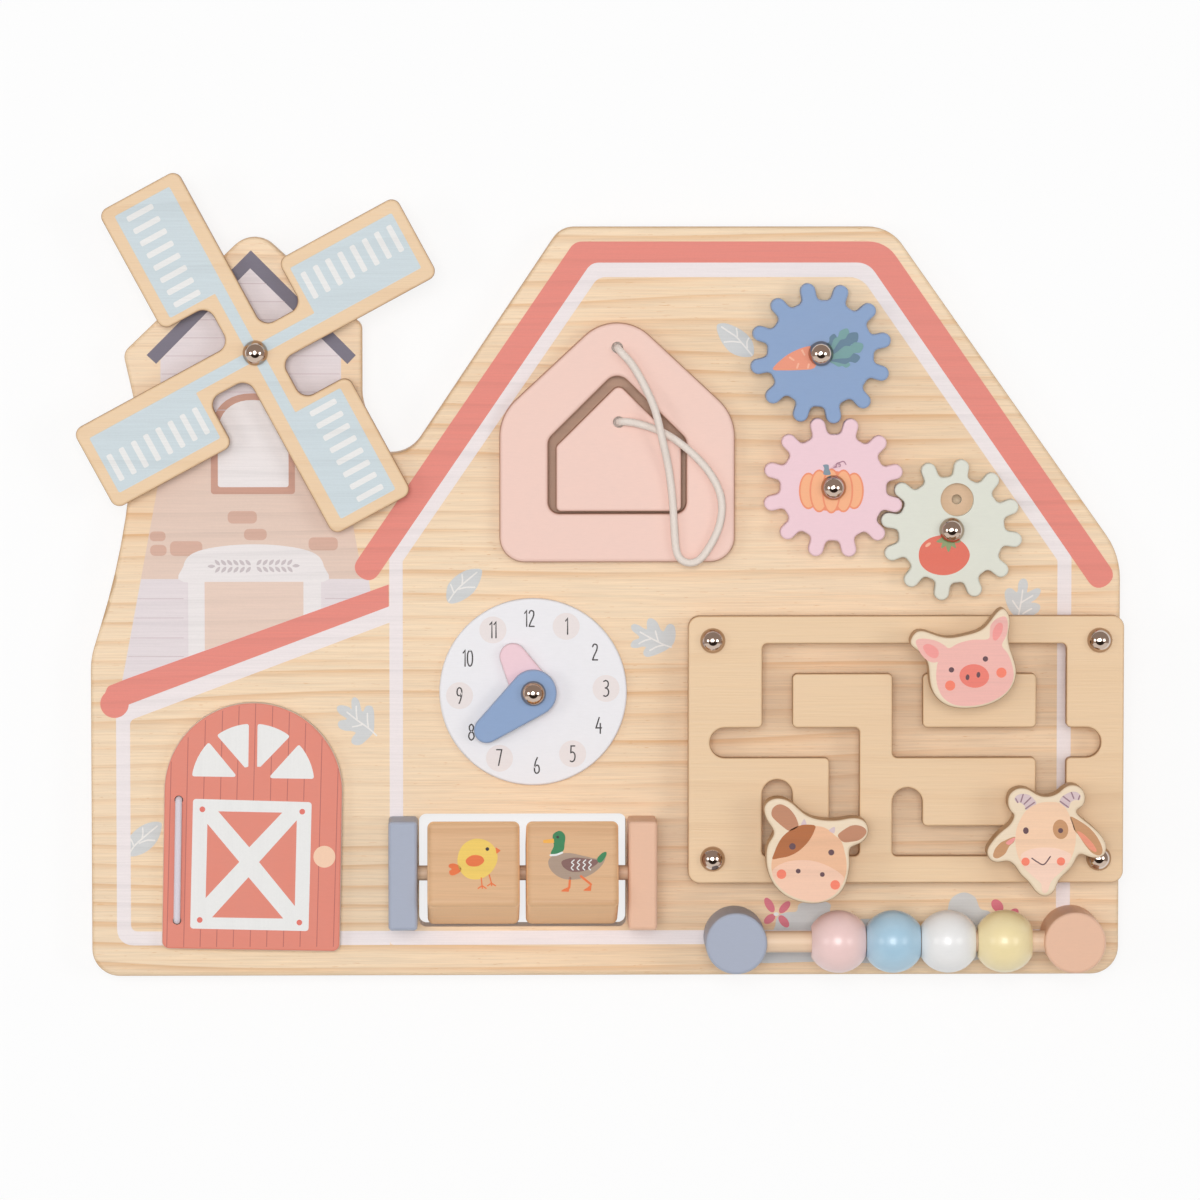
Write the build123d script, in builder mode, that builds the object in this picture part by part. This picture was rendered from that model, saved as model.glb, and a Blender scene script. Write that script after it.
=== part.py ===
from build123d import *

import os
from math import atan2, cos, degrees, hypot, pi, radians, sin, sqrt, tan

# Wooden farm busy board, lying on its back. Lengths are millimetres and angles degrees.
# The origin is the middle of the board's back face: +Z points out of its front face, +Y to the
# roof and +X to the slide maze. Every raised piece stands on the front face.

os.makedirs("parts", exist_ok=True)

# ---------------------------------------------------------------- driving dimensions

# The bottom row, from the left edge: door, cubes and maze. With their gaps it sets the board's width.
door_margin = 28.1
door_width = 71.2
door_cube_gap = 19.7
window_width = 83.0
cube_post_thickness = 11.5
cube_post_margin = 0.5
cube_maze_gap = 12.5
maze_width = 174.0
maze_overhang = 0.5

# Main board: a barn on the right, a windmill on the left
board_width = (
    door_margin
    + door_width
    + door_cube_gap
    + 2 * (cube_post_thickness + cube_post_margin)
    + window_width
    + cube_maze_gap
    + maze_width
    - maze_overhang
)
board_height = 300.0
board_thickness = 15.0
board_corner_radius = 11.0
board_edge_radius = 1.5
eave_rise = 168.8
ridge_start = 188.0
ridge_inset = 92.7
valley_rise = 209.8
valley_start = 114.0
valley_end = 127.7
cap_apex_inset = 65.5
cap_right_inset = 108.7
cap_right_step = 28.3
cap_left_inset = 13.5
cap_left_rise = 250.0
neck_inset = 18.0
neck_rise = 230.0
flare_inset = 15.6
flare_rise = 177.8
tower_foot_rise = 128.0
cap_foot_step = 22.8
ridge_left_radius = 10.0
ridge_right_radius = 16.0
eave_radius = 30.0
valley_left_radius = 5.5
valley_right_radius = 14.0
cap_foot_radius = 15.0
cap_right_radius = 4.0
cap_apex_radius = 11.0
cap_left_radius = 5.0
neck_radius = 25.0
flare_radius = 300.0
tower_foot_radius = 30.0

board_left = -board_width / 2
board_right = board_width / 2
board_bottom = -board_height / 2
board_top = board_height / 2
face_z = board_thickness

barn_eave_y = board_bottom + eave_rise
barn_ridge_left_x = board_left + ridge_start
barn_ridge_right_x = board_right - ridge_inset
valley_y = board_bottom + valley_rise
valley_left_x = board_left + valley_start
valley_right_x = board_left + valley_end
cap_apex_x = board_left + cap_apex_inset
cap_right_x = board_left + cap_right_inset
cap_foot_y = valley_y + cap_foot_step
cap_right_y = cap_foot_y + cap_right_step
cap_left_x = board_left + cap_left_inset
cap_left_y = board_bottom + cap_left_rise
neck_left_x = board_left + neck_inset
neck_left_y = board_bottom + neck_rise
flare_x = board_left + flare_inset
flare_y = board_bottom + flare_rise
tower_foot_y = board_bottom + tower_foot_rise

# Fasteners: a dome-head sleeve stud from the front and a countersunk screw into it from the back
dome_radius = 5.05
stud_radius = 2.9
running_clearance = 0.1
fit_clearance = 0.02
pivot_radius = stud_radius + running_clearance
stud_foot_z = 3.2
thread_radius = 1.3
thread_depth = 9.0
screw_head_radius = 4.0
screw_recess = 0.2
sink_clearance = 0.2
screw_slot_width = 0.9
screw_slot_depth = 1.0
pivot_end_play = 0.3
wood_screw_radius = 1.75

# Windmill sail
sail_hub_inset = 66.4
sail_hub_rise = 250.2
sail_hub = (board_left + sail_hub_inset, board_bottom + sail_hub_rise)
sail_angle = 28.5
sail_arm_count = 4
sail_arm_half_width = 7.5
sail_blade_start = 25.4
sail_blade_end = 78.7
sail_blade_reach = 28.1
sail_corner_radius = 3.8
sail_hub_radius = 5.0
sail_thickness = 6.0
sail_edge_radius = 1.0
spacer_height = 3.0
spacer_radius = 6.0

# Barn door, leaning a little on its loose cord hinge
door_height = 99.4
door_thickness = 5.0
door_corner_radius = 3.0
door_edge_radius = 0.8
door_lean = 1.1
door_seat_gap = 0.3
door_rise = 11.7
door_corner = (board_left + door_margin, board_bottom + door_rise)
door_cord_inset = 5.9
door_cord_low = 11.5
door_cord_high = 60.0
door_cord_radius = 1.35
door_cord_hole_radius = 1.7
door_cord_lift = 0.15
door_cord_bend = 1.5
anchor_knot_radius = 3.2
anchor_knot_height = 4.0
anchor_recess_radius = 4.0
anchor_recess_depth = 5.0

# Clock
clock_inset = 176.8
clock_rise = 114.4
clock_centre = (board_left + clock_inset, board_bottom + clock_rise)
dial_radius = 37.5
dial_thickness = 3.0
hand_thickness = 3.0
hand_edge_radius = 0.8
washer_height = 0.5
washer_radius = 4.5
minute_hub_radius = 9.3
minute_tip_radius = 5.1
minute_reach = 23.8
minute_angle = 218.6
hour_hub_radius = 8.3
hour_tip_radius = 5.3
hour_reach = 16.5
hour_angle = 119.4

# Gears: equal wheels of finger teeth, the pink one in the middle of the train
tooth_count = 12
gear_tip_radius = 28.4
gear_root_radius = 21.2
tooth_backlash = 0.49
tooth_valley_radius = 2.3
gear_thickness = 6.0
gear_edge_radius = 0.8
frame_gear_gap = 5.65
blue_rise = 249.85
blue_y = board_bottom + blue_rise
pink_phase = 14.2
blue_tooth_clearance = 4.1
blue_direction = 95.5
green_tooth_clearance = 0.6
green_direction = -19.8
finger_recess_radius = 6.65
finger_recess_depth = 3.0
finger_recess_reach = 12.3
finger_recess_angle = 80.0
finger_hole_radius = 2.0

# Shape sorter: a house frame on the board and a loose house insert, tied with a lacing cord
frame_inset = 163.4
frame_rise = 166.5
frame_corner = (board_left + frame_inset, board_bottom + frame_rise)
frame_width = 93.9
frame_shoulder = 58.8
frame_apex = 102.5
frame_thickness = 6.0
frame_apex_radius = 19.0
frame_shoulder_radius = 20.0
frame_foot_radius = 10.0
frame_edge_radius = 1.5
opening_width = 55.0
opening_shoulder = 29.6
opening_apex = 56.9
opening_sill = 19.5
opening_apex_radius = 5.5
opening_shoulder_radius = 5.0
opening_foot_radius = 4.5
insert_clearance = 2.5
insert_drop = 1.7
insert_drift = 0.6
insert_shift = (insert_drift, -insert_drop)
insert_edge_radius = 1.2
lace_radius = 1.75
lace_hole_radius = 2.3
frame_hole_drop = 16.8
insert_hole_rise = 38.2
knot_radius = 3.8
knot_height = 3.1
knot_recess_radius = 4.5
knot_recess_depth = 3.5

# Spinning cubes in the board's window
window_left_x = (
    board_left + door_margin + door_width + door_cube_gap + cube_post_thickness + cube_post_margin
)
window_radius = 3.0
cube_axis_inset = 42.5
cube_axis_y = board_bottom + cube_axis_inset
cube_back_clearance = 1.29
cube_window_clearance = 1.25
cube_section = 35.0
cube_side_play = 3.5
cube_rounding = 2.5
cube_tilt = 19.0
cube_reach = cube_section / sqrt(2) - cube_rounding * (sqrt(2) - 1)
cube_axis_z = cube_back_clearance + cube_reach
cube_axis_rise = cube_axis_z - face_z
window_height = 2 * (sqrt(cube_reach**2 - cube_axis_rise**2) + cube_window_clearance)
cube_gap_between = 2.6
cube_length = (window_width - 2 * cube_side_play - cube_gap_between) / 2
cube_axle_radius = 3.0
cube_post_depth = 43.6
cube_post_height = 23.0
cube_post_rounding = 1.5
cube_axle_seat = 7.5
cube_screw_spread = 24.0
cube_screw_bite = 12.2
cube_screw_length = face_z + cube_screw_bite - screw_recess

# Bead rail
bead_rail_inset = 15.7
bead_rail_y = board_bottom + bead_rail_inset
bead_rail_rise = 19.5
bead_post_inset = 19.6
bead_post_right_x = board_right - bead_post_inset
bead_post_radius = 12.25
bead_post_height = 27.0
bead_post_rounding = 1.2
bead_rod_radius = 4.3
bead_rod_seat = 9.0
bead_radius = 12.5
bead_length = 21.6
bead_bore_radius = 4.5
bead_first_gap = 17.85
bead_gap = 0.3
bead_last_gap = 1.0
bead_end_gap = 4.65
bead_colours = ("pink", "blue", "white", "yellow")
bead_screw_bite = 9.2
bead_screw_length = face_z + bead_screw_bite - screw_recess

# Slide maze: a slotted plate on four spacers, and the island that its slots cut free
maze_height = 107.0
maze_plate_thickness = 5.0
maze_gap = 8.0
maze_corner_radius = 4.7
maze_edge_radius = 0.8
maze_stud_inset = 9.8
maze_rise = 91.9
left_end_inset = 14.7
column_one_inset = 35.6
column_two_step = 26.8
column_three_step = 25.2
column_four_inset = 29.0
right_end_inset = 15.1
row_top_inset = 17.1
row_bottom_inset = 16.8
stub_one_length = 18.7
stub_three_length = 15.4
maze_spacer_radius = 5.0
maze_centre = (board_right + maze_overhang - maze_width / 2, board_bottom + maze_rise)
maze_left_x = maze_centre[0] - maze_width / 2
maze_right_x = maze_centre[0] + maze_width / 2
maze_low_y = maze_centre[1] - maze_height / 2
maze_high_y = maze_centre[1] + maze_height / 2
slot_width = 12.0
slot_corner_radius = 2.0
left_end_x = maze_left_x + left_end_inset
column_one = maze_left_x + column_one_inset
column_two = column_one + column_two_step
column_three = column_two + column_three_step
column_four = maze_right_x - column_four_inset
right_end_x = maze_right_x - right_end_inset
row_top = maze_high_y - row_top_inset
row_bottom = maze_low_y + row_bottom_inset
row_middle = row_bottom + 0.54 * (row_top - row_bottom)
stub_one_y = row_bottom + stub_one_length
stub_three_y = row_bottom + stub_three_length
island_block_margin = 9.6
island_screw_margin = 8.5
island_screw_bite = 3.2

# Animals: each head turns on its peg in a runner that slides along a slot
head_thickness = 12.0
head_edge_radius = 1.2
head_lift = 0.55
peg_radius = 2.95
runner_bore_radius = peg_radius + running_clearance
sleeve_clearance = 0.4
runner_radius = slot_width / 2 - sleeve_clearance
collar_radius = 9.0
collar_thickness = 3.0
collar_lift = 2.0
runner_end_play = 0.2
retainer_head_radius = 3.6
retainer_head_height = 1.4
retainer_radius = 1.2
retainer_length = 11.0
pig_rest = 20.4
cow_rest = 12.0
goat_rest = 2.9
pig_peg = (column_three + pig_rest, row_top)
cow_peg = (column_two - cow_rest, row_bottom)
goat_peg = (column_four - goat_rest, row_bottom)

# ---------------------------------------------------------------- helpers


def polar(centre, reach, angle):
    """Point at a distance and angle from a centre."""
    return (centre[0] + reach * cos(radians(angle)), centre[1] + reach * sin(radians(angle)))


def draw_outline(corners, mode=Mode.ADD):
    """Closed outline in the current sketch, from corners given as (x, y, radius)."""
    with BuildLine(mode=Mode.PRIVATE) as outline:
        FilletPolyline(
            *[(x, y) for x, y, _ in corners], radius=[r for _, _, r in corners], close=True
        )
    make_face(outline.edges(), mode=mode)


def house_corners(middle_x, base_y, width, shoulder, apex, radii):
    """Outline of a house: foot, shoulder and apex, each with its own radius."""
    foot_radius, shoulder_radius, apex_radius = radii
    half = width / 2
    return [
        (middle_x - half, base_y, foot_radius),
        (middle_x + half, base_y, foot_radius),
        (middle_x + half, base_y + shoulder, shoulder_radius),
        (middle_x, base_y + apex, apex_radius),
        (middle_x - half, base_y + shoulder, shoulder_radius),
    ]


def back_planes(points):
    """Planes on the back face, looking away from the board, for holes cut from behind."""
    return [Plane(origin=(x, y, 0), z_dir=(0, 0, -1)) for x, y in points]


def top_edges(piece):
    """Edges of the highest face."""
    return piece.faces().sort_by(Axis.Z)[-1].edges()


def bottom_edges(piece):
    """Edges of the lowest face."""
    return piece.faces().sort_by(Axis.Z)[0].edges()


def make_rings(points, bottom_z, height, outer_radius, bore_radius):
    """Spacers or washers, one at each point."""
    with BuildPart() as rings:
        with BuildSketch(Plane.XY.offset(bottom_z)):
            with Locations(*points):
                Circle(outer_radius)
                Circle(bore_radius, mode=Mode.SUBTRACT)
        extrude(amount=height)
    return rings


def make_studs(points, seat_z):
    """Dome-head sleeve studs whose heads sit at seat_z."""
    with BuildPart() as studs:
        with BuildSketch(Plane.XY.offset(stud_foot_z)):
            with Locations(*points):
                Circle(stud_radius)
        extrude(amount=seat_z - stud_foot_z)
        with Locations(*[(x, y, seat_z) for x, y in points]):
            Sphere(dome_radius, arc_size1=0, align=(Align.CENTER, Align.CENTER, Align.MIN))
        with BuildSketch(Plane.XY.offset(stud_foot_z)):
            with Locations(*points):
                Circle(thread_radius)
        extrude(amount=thread_depth, mode=Mode.SUBTRACT)
    return studs


def make_screws(points, shank_radius, length):
    """Countersunk screws driven in from the back face."""
    low = (Align.CENTER, Align.CENTER, Align.MIN)
    head_height = screw_head_radius - shank_radius
    with BuildPart() as screws:
        with Locations(*[(x, y, screw_recess) for x, y in points]):
            Cone(screw_head_radius, shank_radius, head_height, align=low)
            Cylinder(shank_radius, length, align=low)
            slot_length = 2 * (screw_head_radius - screw_slot_width)
            Box(slot_length, screw_slot_width, screw_slot_depth, align=low, mode=Mode.SUBTRACT)
            Box(screw_slot_width, slot_length, screw_slot_depth, align=low, mode=Mode.SUBTRACT)
    return screws


sink_radius = screw_head_radius + screw_recess + sink_clearance

# ---------------------------------------------------------------- places that several pieces share

frame_right_x = frame_corner[0] + frame_width
blue_distance = gear_tip_radius + gear_root_radius + blue_tooth_clearance
green_distance = gear_tip_radius + gear_root_radius + green_tooth_clearance
blue_centre = (frame_right_x + frame_gear_gap + gear_tip_radius, blue_y)
pink_centre = polar(blue_centre, blue_distance, blue_direction + 180)
green_centre = polar(pink_centre, green_distance, green_direction)
gear_centres = [blue_centre, pink_centre, green_centre]

maze_stud_x = maze_width / 2 - maze_stud_inset
maze_stud_y = maze_height / 2 - maze_stud_inset
maze_corners = [
    (maze_centre[0] + side * maze_stud_x, maze_centre[1] + end * maze_stud_y)
    for side in (-1, 1)
    for end in (-1, 1)
]
island_left = column_three + slot_width / 2
island_right = column_four - slot_width / 2
island_low = row_middle + slot_width / 2
island_high = row_top - slot_width / 2
island_middle = ((island_left + island_right) / 2, (island_low + island_high) / 2)
island_screw_points = [
    (island_left + island_screw_margin, island_middle[1]),
    (island_right - island_screw_margin, island_middle[1]),
]

window_right_x = window_left_x + window_width
window_middle_x = (window_left_x + window_right_x) / 2
post_offset = cube_post_margin + cube_post_thickness / 2
cube_post_left_x = window_left_x - post_offset
cube_post_right_x = window_right_x + post_offset
cube_screw_points = [
    (x, cube_axis_y + end * cube_screw_spread / 2)
    for x in (cube_post_left_x, cube_post_right_x)
    for end in (-1, 1)
]

bead_gaps = (bead_gap, bead_gap, bead_last_gap, bead_end_gap)
bead_run = bead_first_gap + len(bead_colours) * bead_length + sum(bead_gaps)
bead_post_left_x = bead_post_right_x - 2 * bead_post_radius - bead_run
bead_screw_points = [(bead_post_left_x, bead_rail_y), (bead_post_right_x, bead_rail_y)]

door_plane = Plane(
    origin=(door_corner[0], door_corner[1], face_z + door_seat_gap),
    x_dir=(cos(radians(door_lean)), -sin(radians(door_lean)), 0),
    z_dir=(0, 0, 1),
)
door_hole_points = [(door_cord_inset, door_cord_low), (door_cord_inset, door_cord_high)]
anchor_points = []
for along, up in door_hole_points:
    hole = door_plane.from_local_coords(Vector(along, up, 0))
    anchor_points.append((hole.X, hole.Y))

spacer_top_z = face_z + spacer_height
maze_plate_z = face_z + maze_gap
maze_top_z = maze_plate_z + maze_plate_thickness
island_screw_length = maze_plate_z + island_screw_bite - screw_recess

# ---------------------------------------------------------------- main board

board_outline = [
    (board_left, board_bottom, board_corner_radius),
    (board_right, board_bottom, board_corner_radius),
    (board_right, barn_eave_y, eave_radius),
    (barn_ridge_right_x, board_top, ridge_right_radius),
    (barn_ridge_left_x, board_top, ridge_left_radius),
    (valley_right_x, valley_y, valley_right_radius),
    (valley_left_x, valley_y, valley_left_radius),
    (cap_right_x, cap_foot_y, cap_foot_radius),
    (cap_right_x, cap_right_y, cap_right_radius),
    (cap_apex_x, board_top, cap_apex_radius),
    (cap_left_x, cap_left_y, cap_left_radius),
    (neck_left_x, neck_left_y, neck_radius),
    (flare_x, flare_y, flare_radius),
    (board_left, tower_foot_y, tower_foot_radius),
]

with BuildPart() as main_board:
    with BuildSketch():
        draw_outline(board_outline)
    extrude(amount=board_thickness)
    fillet(top_edges(main_board), board_edge_radius)
    fillet(bottom_edges(main_board), board_edge_radius)
    with BuildSketch(Plane.XY):
        with Locations((window_middle_x, cube_axis_y)):
            RectangleRounded(window_width, window_height, window_radius)
    extrude(amount=board_thickness, mode=Mode.SUBTRACT)
    with Locations(*back_planes([sail_hub, clock_centre] + gear_centres + maze_corners)):
        CounterSinkHole(stud_radius + fit_clearance, sink_radius, counter_sink_angle=90)
    with Locations(*back_planes(cube_screw_points + bead_screw_points + island_screw_points)):
        CounterSinkHole(wood_screw_radius + fit_clearance, sink_radius, counter_sink_angle=90)
    with Locations(*back_planes(anchor_points)):
        CounterBoreHole(door_cord_hole_radius, anchor_recess_radius, anchor_recess_depth)
main_board.part.label = "main_board"
export_step(main_board.part, "parts/main_board.step")

# ---------------------------------------------------------------- windmill sail and its stud

sail_corners = []
for arm in range(sail_arm_count):
    arm_angle = sail_angle + arm * 360 / sail_arm_count
    for along, across, radius in (
        (sail_arm_half_width, -sail_arm_half_width, sail_hub_radius),
        (sail_blade_end, -sail_arm_half_width, sail_corner_radius),
        (sail_blade_end, sail_blade_reach, sail_corner_radius),
        (sail_blade_start, sail_blade_reach, sail_corner_radius),
        (sail_blade_start, sail_arm_half_width, sail_hub_radius),
    ):
        reach = hypot(along, across)
        angle = arm_angle + degrees(atan2(across, along))
        sail_corners.append((*polar(sail_hub, reach, angle), radius))

with BuildPart() as windmill_sail:
    with BuildSketch(Plane.XY.offset(spacer_top_z)):
        draw_outline(sail_corners)
    extrude(amount=sail_thickness)
    fillet(top_edges(windmill_sail), sail_edge_radius)
    fillet(bottom_edges(windmill_sail), sail_edge_radius)
    with Locations((*sail_hub, spacer_top_z)):
        Hole(pivot_radius)
windmill_sail.part.label = "windmill_sail"
export_step(windmill_sail.part, "parts/windmill_sail.step")

sail_spacer = make_rings([sail_hub], face_z, spacer_height, spacer_radius, stud_radius + fit_clearance)
sail_spacer.part.label = "sail_spacer"
export_step(sail_spacer.part, "parts/sail_spacer.step")

sail_stud = make_studs([sail_hub], spacer_top_z + sail_thickness + pivot_end_play)
sail_stud.part.label = "sail_stud"
export_step(sail_stud.part, "parts/sail_stud.step")

stud_screw_length = stud_foot_z + thread_depth - 1.0

sail_back_screw = make_screws([sail_hub], thread_radius - fit_clearance, stud_screw_length)
sail_back_screw.part.label = "sail_back_screw"
export_step(sail_back_screw.part, "parts/sail_back_screw.step")

# ---------------------------------------------------------------- barn door and its cord hinge

with BuildPart() as barn_door:
    with BuildSketch(door_plane):
        arch_y = door_height - door_width / 2
        with Locations((door_width / 2, arch_y)):
            Circle(door_width / 2)
        with Locations((door_width / 2, arch_y / 2)):
            Rectangle(door_width, arch_y)
        fillet(vertices().group_by(Axis.Y)[0], door_corner_radius)
    extrude(amount=door_thickness)
    fillet(top_edges(barn_door), door_edge_radius)
    with BuildSketch(door_plane):
        with Locations(*door_hole_points):
            Circle(door_cord_hole_radius)
    extrude(amount=door_thickness, mode=Mode.SUBTRACT)
barn_door.part.label = "barn_door"
export_step(barn_door.part, "parts/barn_door.step")

cord_z = door_thickness + door_cord_lift + door_cord_radius
with BuildPart() as door_hinge_cord:
    with BuildLine(door_plane):
        FilletPolyline(
            (door_cord_inset, door_cord_low, 0),
            (door_cord_inset, door_cord_low, cord_z),
            (door_cord_inset, door_cord_high, cord_z),
            (door_cord_inset, door_cord_high, 0),
            radius=door_cord_bend,
        )
    with BuildSketch(Plane(door_plane.from_local_coords(Vector(*door_hole_points[0], 0)))):
        Circle(door_cord_radius)
    sweep()
door_hinge_cord.part.label = "door_hinge_cord"
export_step(door_hinge_cord.part, "parts/door_hinge_cord.step")

with BuildPart() as hinge_cord_anchors:
    with BuildSketch(Plane.XY.offset(anchor_recess_depth)):
        with Locations(*anchor_points):
            Circle(door_cord_radius)
    extrude(amount=face_z - anchor_recess_depth)
    with Locations(*[(x, y, anchor_recess_depth) for x, y in anchor_points]):
        Cylinder(anchor_knot_radius, anchor_knot_height, align=(Align.CENTER, Align.CENTER, Align.MAX))
    fillet(edges().filter_by(GeomType.CIRCLE).group_by(SortBy.RADIUS)[-1], anchor_knot_height / 2 - 0.3)
hinge_cord_anchors.part.label = "hinge_cord_anchors"
export_step(hinge_cord_anchors.part, "parts/hinge_cord_anchors.step")

# ---------------------------------------------------------------- clock

with BuildPart() as clock_dial:
    with Locations((*clock_centre, face_z)):
        Cylinder(dial_radius, dial_thickness, align=(Align.CENTER, Align.CENTER, Align.MIN))
    fillet(top_edges(clock_dial), hand_edge_radius)
    with Locations((*clock_centre, face_z)):
        Hole(stud_radius + fit_clearance)
clock_dial.part.label = "clock_dial"
export_step(clock_dial.part, "parts/clock_dial.step")

dial_top_z = face_z + dial_thickness
hour_hand_z = dial_top_z + washer_height
minute_washer_z = hour_hand_z + hand_thickness + running_clearance
minute_hand_z = minute_washer_z + washer_height


def make_hand(bottom_z, hub_radius, tip_radius, reach, angle):
    """Tear-shaped clock hand, bored for the clock's stud."""
    with BuildPart() as hand:
        with BuildSketch(Plane.XY.offset(bottom_z)):
            with Locations(clock_centre):
                Circle(hub_radius)
            with Locations(polar(clock_centre, reach, angle)):
                Circle(tip_radius)
            make_hull()
        extrude(amount=hand_thickness)
        fillet(top_edges(hand), hand_edge_radius)
        with Locations((*clock_centre, bottom_z)):
            Hole(pivot_radius)
    return hand


hour_hand = make_hand(hour_hand_z, hour_hub_radius, hour_tip_radius, hour_reach, hour_angle)
hour_hand.part.label = "hour_hand"
export_step(hour_hand.part, "parts/hour_hand.step")

minute_hand = make_hand(minute_hand_z, minute_hub_radius, minute_tip_radius, minute_reach, minute_angle)
minute_hand.part.label = "minute_hand"
export_step(minute_hand.part, "parts/minute_hand.step")

with BuildPart() as clock_washers:
    for washer_z in (dial_top_z, minute_washer_z):
        with BuildSketch(Plane.XY.offset(washer_z)):
            with Locations(clock_centre):
                Circle(washer_radius)
                Circle(stud_radius + fit_clearance, mode=Mode.SUBTRACT)
        extrude(amount=washer_height)
clock_washers.part.label = "clock_washers"
export_step(clock_washers.part, "parts/clock_washers.step")

clock_stud = make_studs([clock_centre], minute_hand_z + hand_thickness + pivot_end_play)
clock_stud.part.label = "clock_stud"
export_step(clock_stud.part, "parts/clock_stud.step")

clock_back_screw = make_screws([clock_centre], thread_radius - fit_clearance, stud_screw_length)
clock_back_screw.part.label = "clock_back_screw"
export_step(clock_back_screw.part, "parts/clock_back_screw.step")

# ---------------------------------------------------------------- gears

# Two wheels mesh when the sum of their tooth phases is twice the direction between them plus half
# a turn and half a pitch, so both outer wheels take their phase from the pink one.
tooth_pitch = 360 / tooth_count
blue_phase = (2 * blue_direction + 180 + tooth_pitch / 2 - pink_phase) % tooth_pitch
green_phase = (2 * green_direction + 180 + tooth_pitch / 2 - pink_phase) % tooth_pitch


tooth_spacing = pi * (gear_tip_radius + gear_root_radius) / tooth_count
tooth_width = tooth_spacing / 2 - tooth_backlash


def make_gear(centre, phase, finger_points=()):
    """Wheel with round-ended finger teeth, bored for its stud, with any finger recesses."""
    tooth_end = gear_tip_radius - tooth_width / 2
    with BuildPart() as gear:
        with BuildSketch(Plane.XY.offset(spacer_top_z)):
            with Locations(centre):
                Circle(gear_root_radius)
                with PolarLocations(0, tooth_count, start_angle=phase):
                    with Locations((tooth_end / 2, 0)):
                        Rectangle(tooth_end, tooth_width)
                    with Locations((tooth_end, 0)):
                        Circle(tooth_width / 2)
            valleys = [
                corner
                for corner in vertices()
                if abs(hypot(corner.X - centre[0], corner.Y - centre[1]) - gear_root_radius) < 0.3
            ]
            fillet(valleys, tooth_valley_radius)
        extrude(amount=gear_thickness)
        fillet(top_edges(gear), gear_edge_radius)
        with Locations((*centre, spacer_top_z)):
            Hole(pivot_radius)
        for point in finger_points:
            with Locations((*point, spacer_top_z + gear_thickness)):
                CounterBoreHole(finger_hole_radius, finger_recess_radius, finger_recess_depth)
    return gear


gear_blue = make_gear(blue_centre, blue_phase)
gear_blue.part.label = "gear_blue"
export_step(gear_blue.part, "parts/gear_blue.step")

gear_pink = make_gear(pink_centre, pink_phase)
gear_pink.part.label = "gear_pink"
export_step(gear_pink.part, "parts/gear_pink.step")

finger_point = polar(green_centre, finger_recess_reach, finger_recess_angle)
gear_green = make_gear(green_centre, green_phase, [finger_point])
gear_green.part.label = "gear_green"
export_step(gear_green.part, "parts/gear_green.step")

gear_spacers = make_rings(gear_centres, face_z, spacer_height, spacer_radius, stud_radius + fit_clearance)
gear_spacers.part.label = "gear_spacers"
export_step(gear_spacers.part, "parts/gear_spacers.step")

gear_studs = make_studs(gear_centres, spacer_top_z + gear_thickness + pivot_end_play)
gear_studs.part.label = "gear_studs"
export_step(gear_studs.part, "parts/gear_studs.step")

gear_back_screws = make_screws(gear_centres, thread_radius - fit_clearance, stud_screw_length)
gear_back_screws.part.label = "gear_back_screws"
export_step(gear_back_screws.part, "parts/gear_back_screws.step")

# ---------------------------------------------------------------- shape sorter

frame_middle_x = frame_corner[0] + frame_width / 2
opening_base_y = frame_corner[1] + opening_sill
frame_top_z = face_z + frame_thickness
frame_hole = (frame_middle_x, frame_corner[1] + frame_apex - frame_hole_drop)
insert_hole = (frame_middle_x + insert_shift[0], opening_base_y + insert_shift[1] + insert_hole_rise)

frame_outline = house_corners(
    frame_middle_x,
    frame_corner[1],
    frame_width,
    frame_shoulder,
    frame_apex,
    (frame_foot_radius, frame_shoulder_radius, frame_apex_radius),
)
opening_outline = house_corners(
    frame_middle_x,
    opening_base_y,
    opening_width,
    opening_shoulder,
    opening_apex,
    (opening_foot_radius, opening_shoulder_radius, opening_apex_radius),
)

with BuildPart() as shape_frame:
    with BuildSketch(Plane.XY.offset(face_z)):
        draw_outline(frame_outline)
        draw_outline(opening_outline, mode=Mode.SUBTRACT)
    extrude(amount=frame_thickness)
    fillet(top_edges(shape_frame), frame_edge_radius)
    with Locations(Plane(origin=(*frame_hole, face_z), z_dir=(0, 0, -1))):
        CounterBoreHole(lace_hole_radius, knot_recess_radius, knot_recess_depth)
shape_frame.part.label = "shape_frame"
export_step(shape_frame.part, "parts/shape_frame.step")

with BuildPart() as house_insert:
    with BuildSketch(Plane.XY.offset(face_z)):
        draw_outline([(x + insert_shift[0], y + insert_shift[1], r) for x, y, r in opening_outline])
        offset(amount=-insert_clearance, kind=Kind.ARC, mode=Mode.REPLACE)
    extrude(amount=frame_thickness)
    fillet(top_edges(house_insert), insert_edge_radius)
    with Locations(Plane(origin=(*insert_hole, face_z), z_dir=(0, 0, -1))):
        CounterBoreHole(lace_hole_radius, knot_recess_radius, knot_recess_depth)
house_insert.part.label = "house_insert"
export_step(house_insert.part, "parts/house_insert.step")


def make_knot(point):
    """Flattened knot that fills the recess under a lacing hole."""
    with BuildPart() as knot:
        with Locations((*point, face_z + knot_recess_depth)):
            Cylinder(knot_radius, knot_height, align=(Align.CENTER, Align.CENTER, Align.MAX))
        fillet(knot.edges().filter_by(GeomType.CIRCLE), knot_height / 2 - 0.2)
    return knot


frame_cord_knot = make_knot(frame_hole)
frame_cord_knot.part.label = "frame_cord_knot"
export_step(frame_cord_knot.part, "parts/frame_cord_knot.step")

insert_cord_knot = make_knot(insert_hole)
insert_cord_knot.part.label = "insert_cord_knot"
export_step(insert_cord_knot.part, "parts/insert_cord_knot.step")

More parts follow.
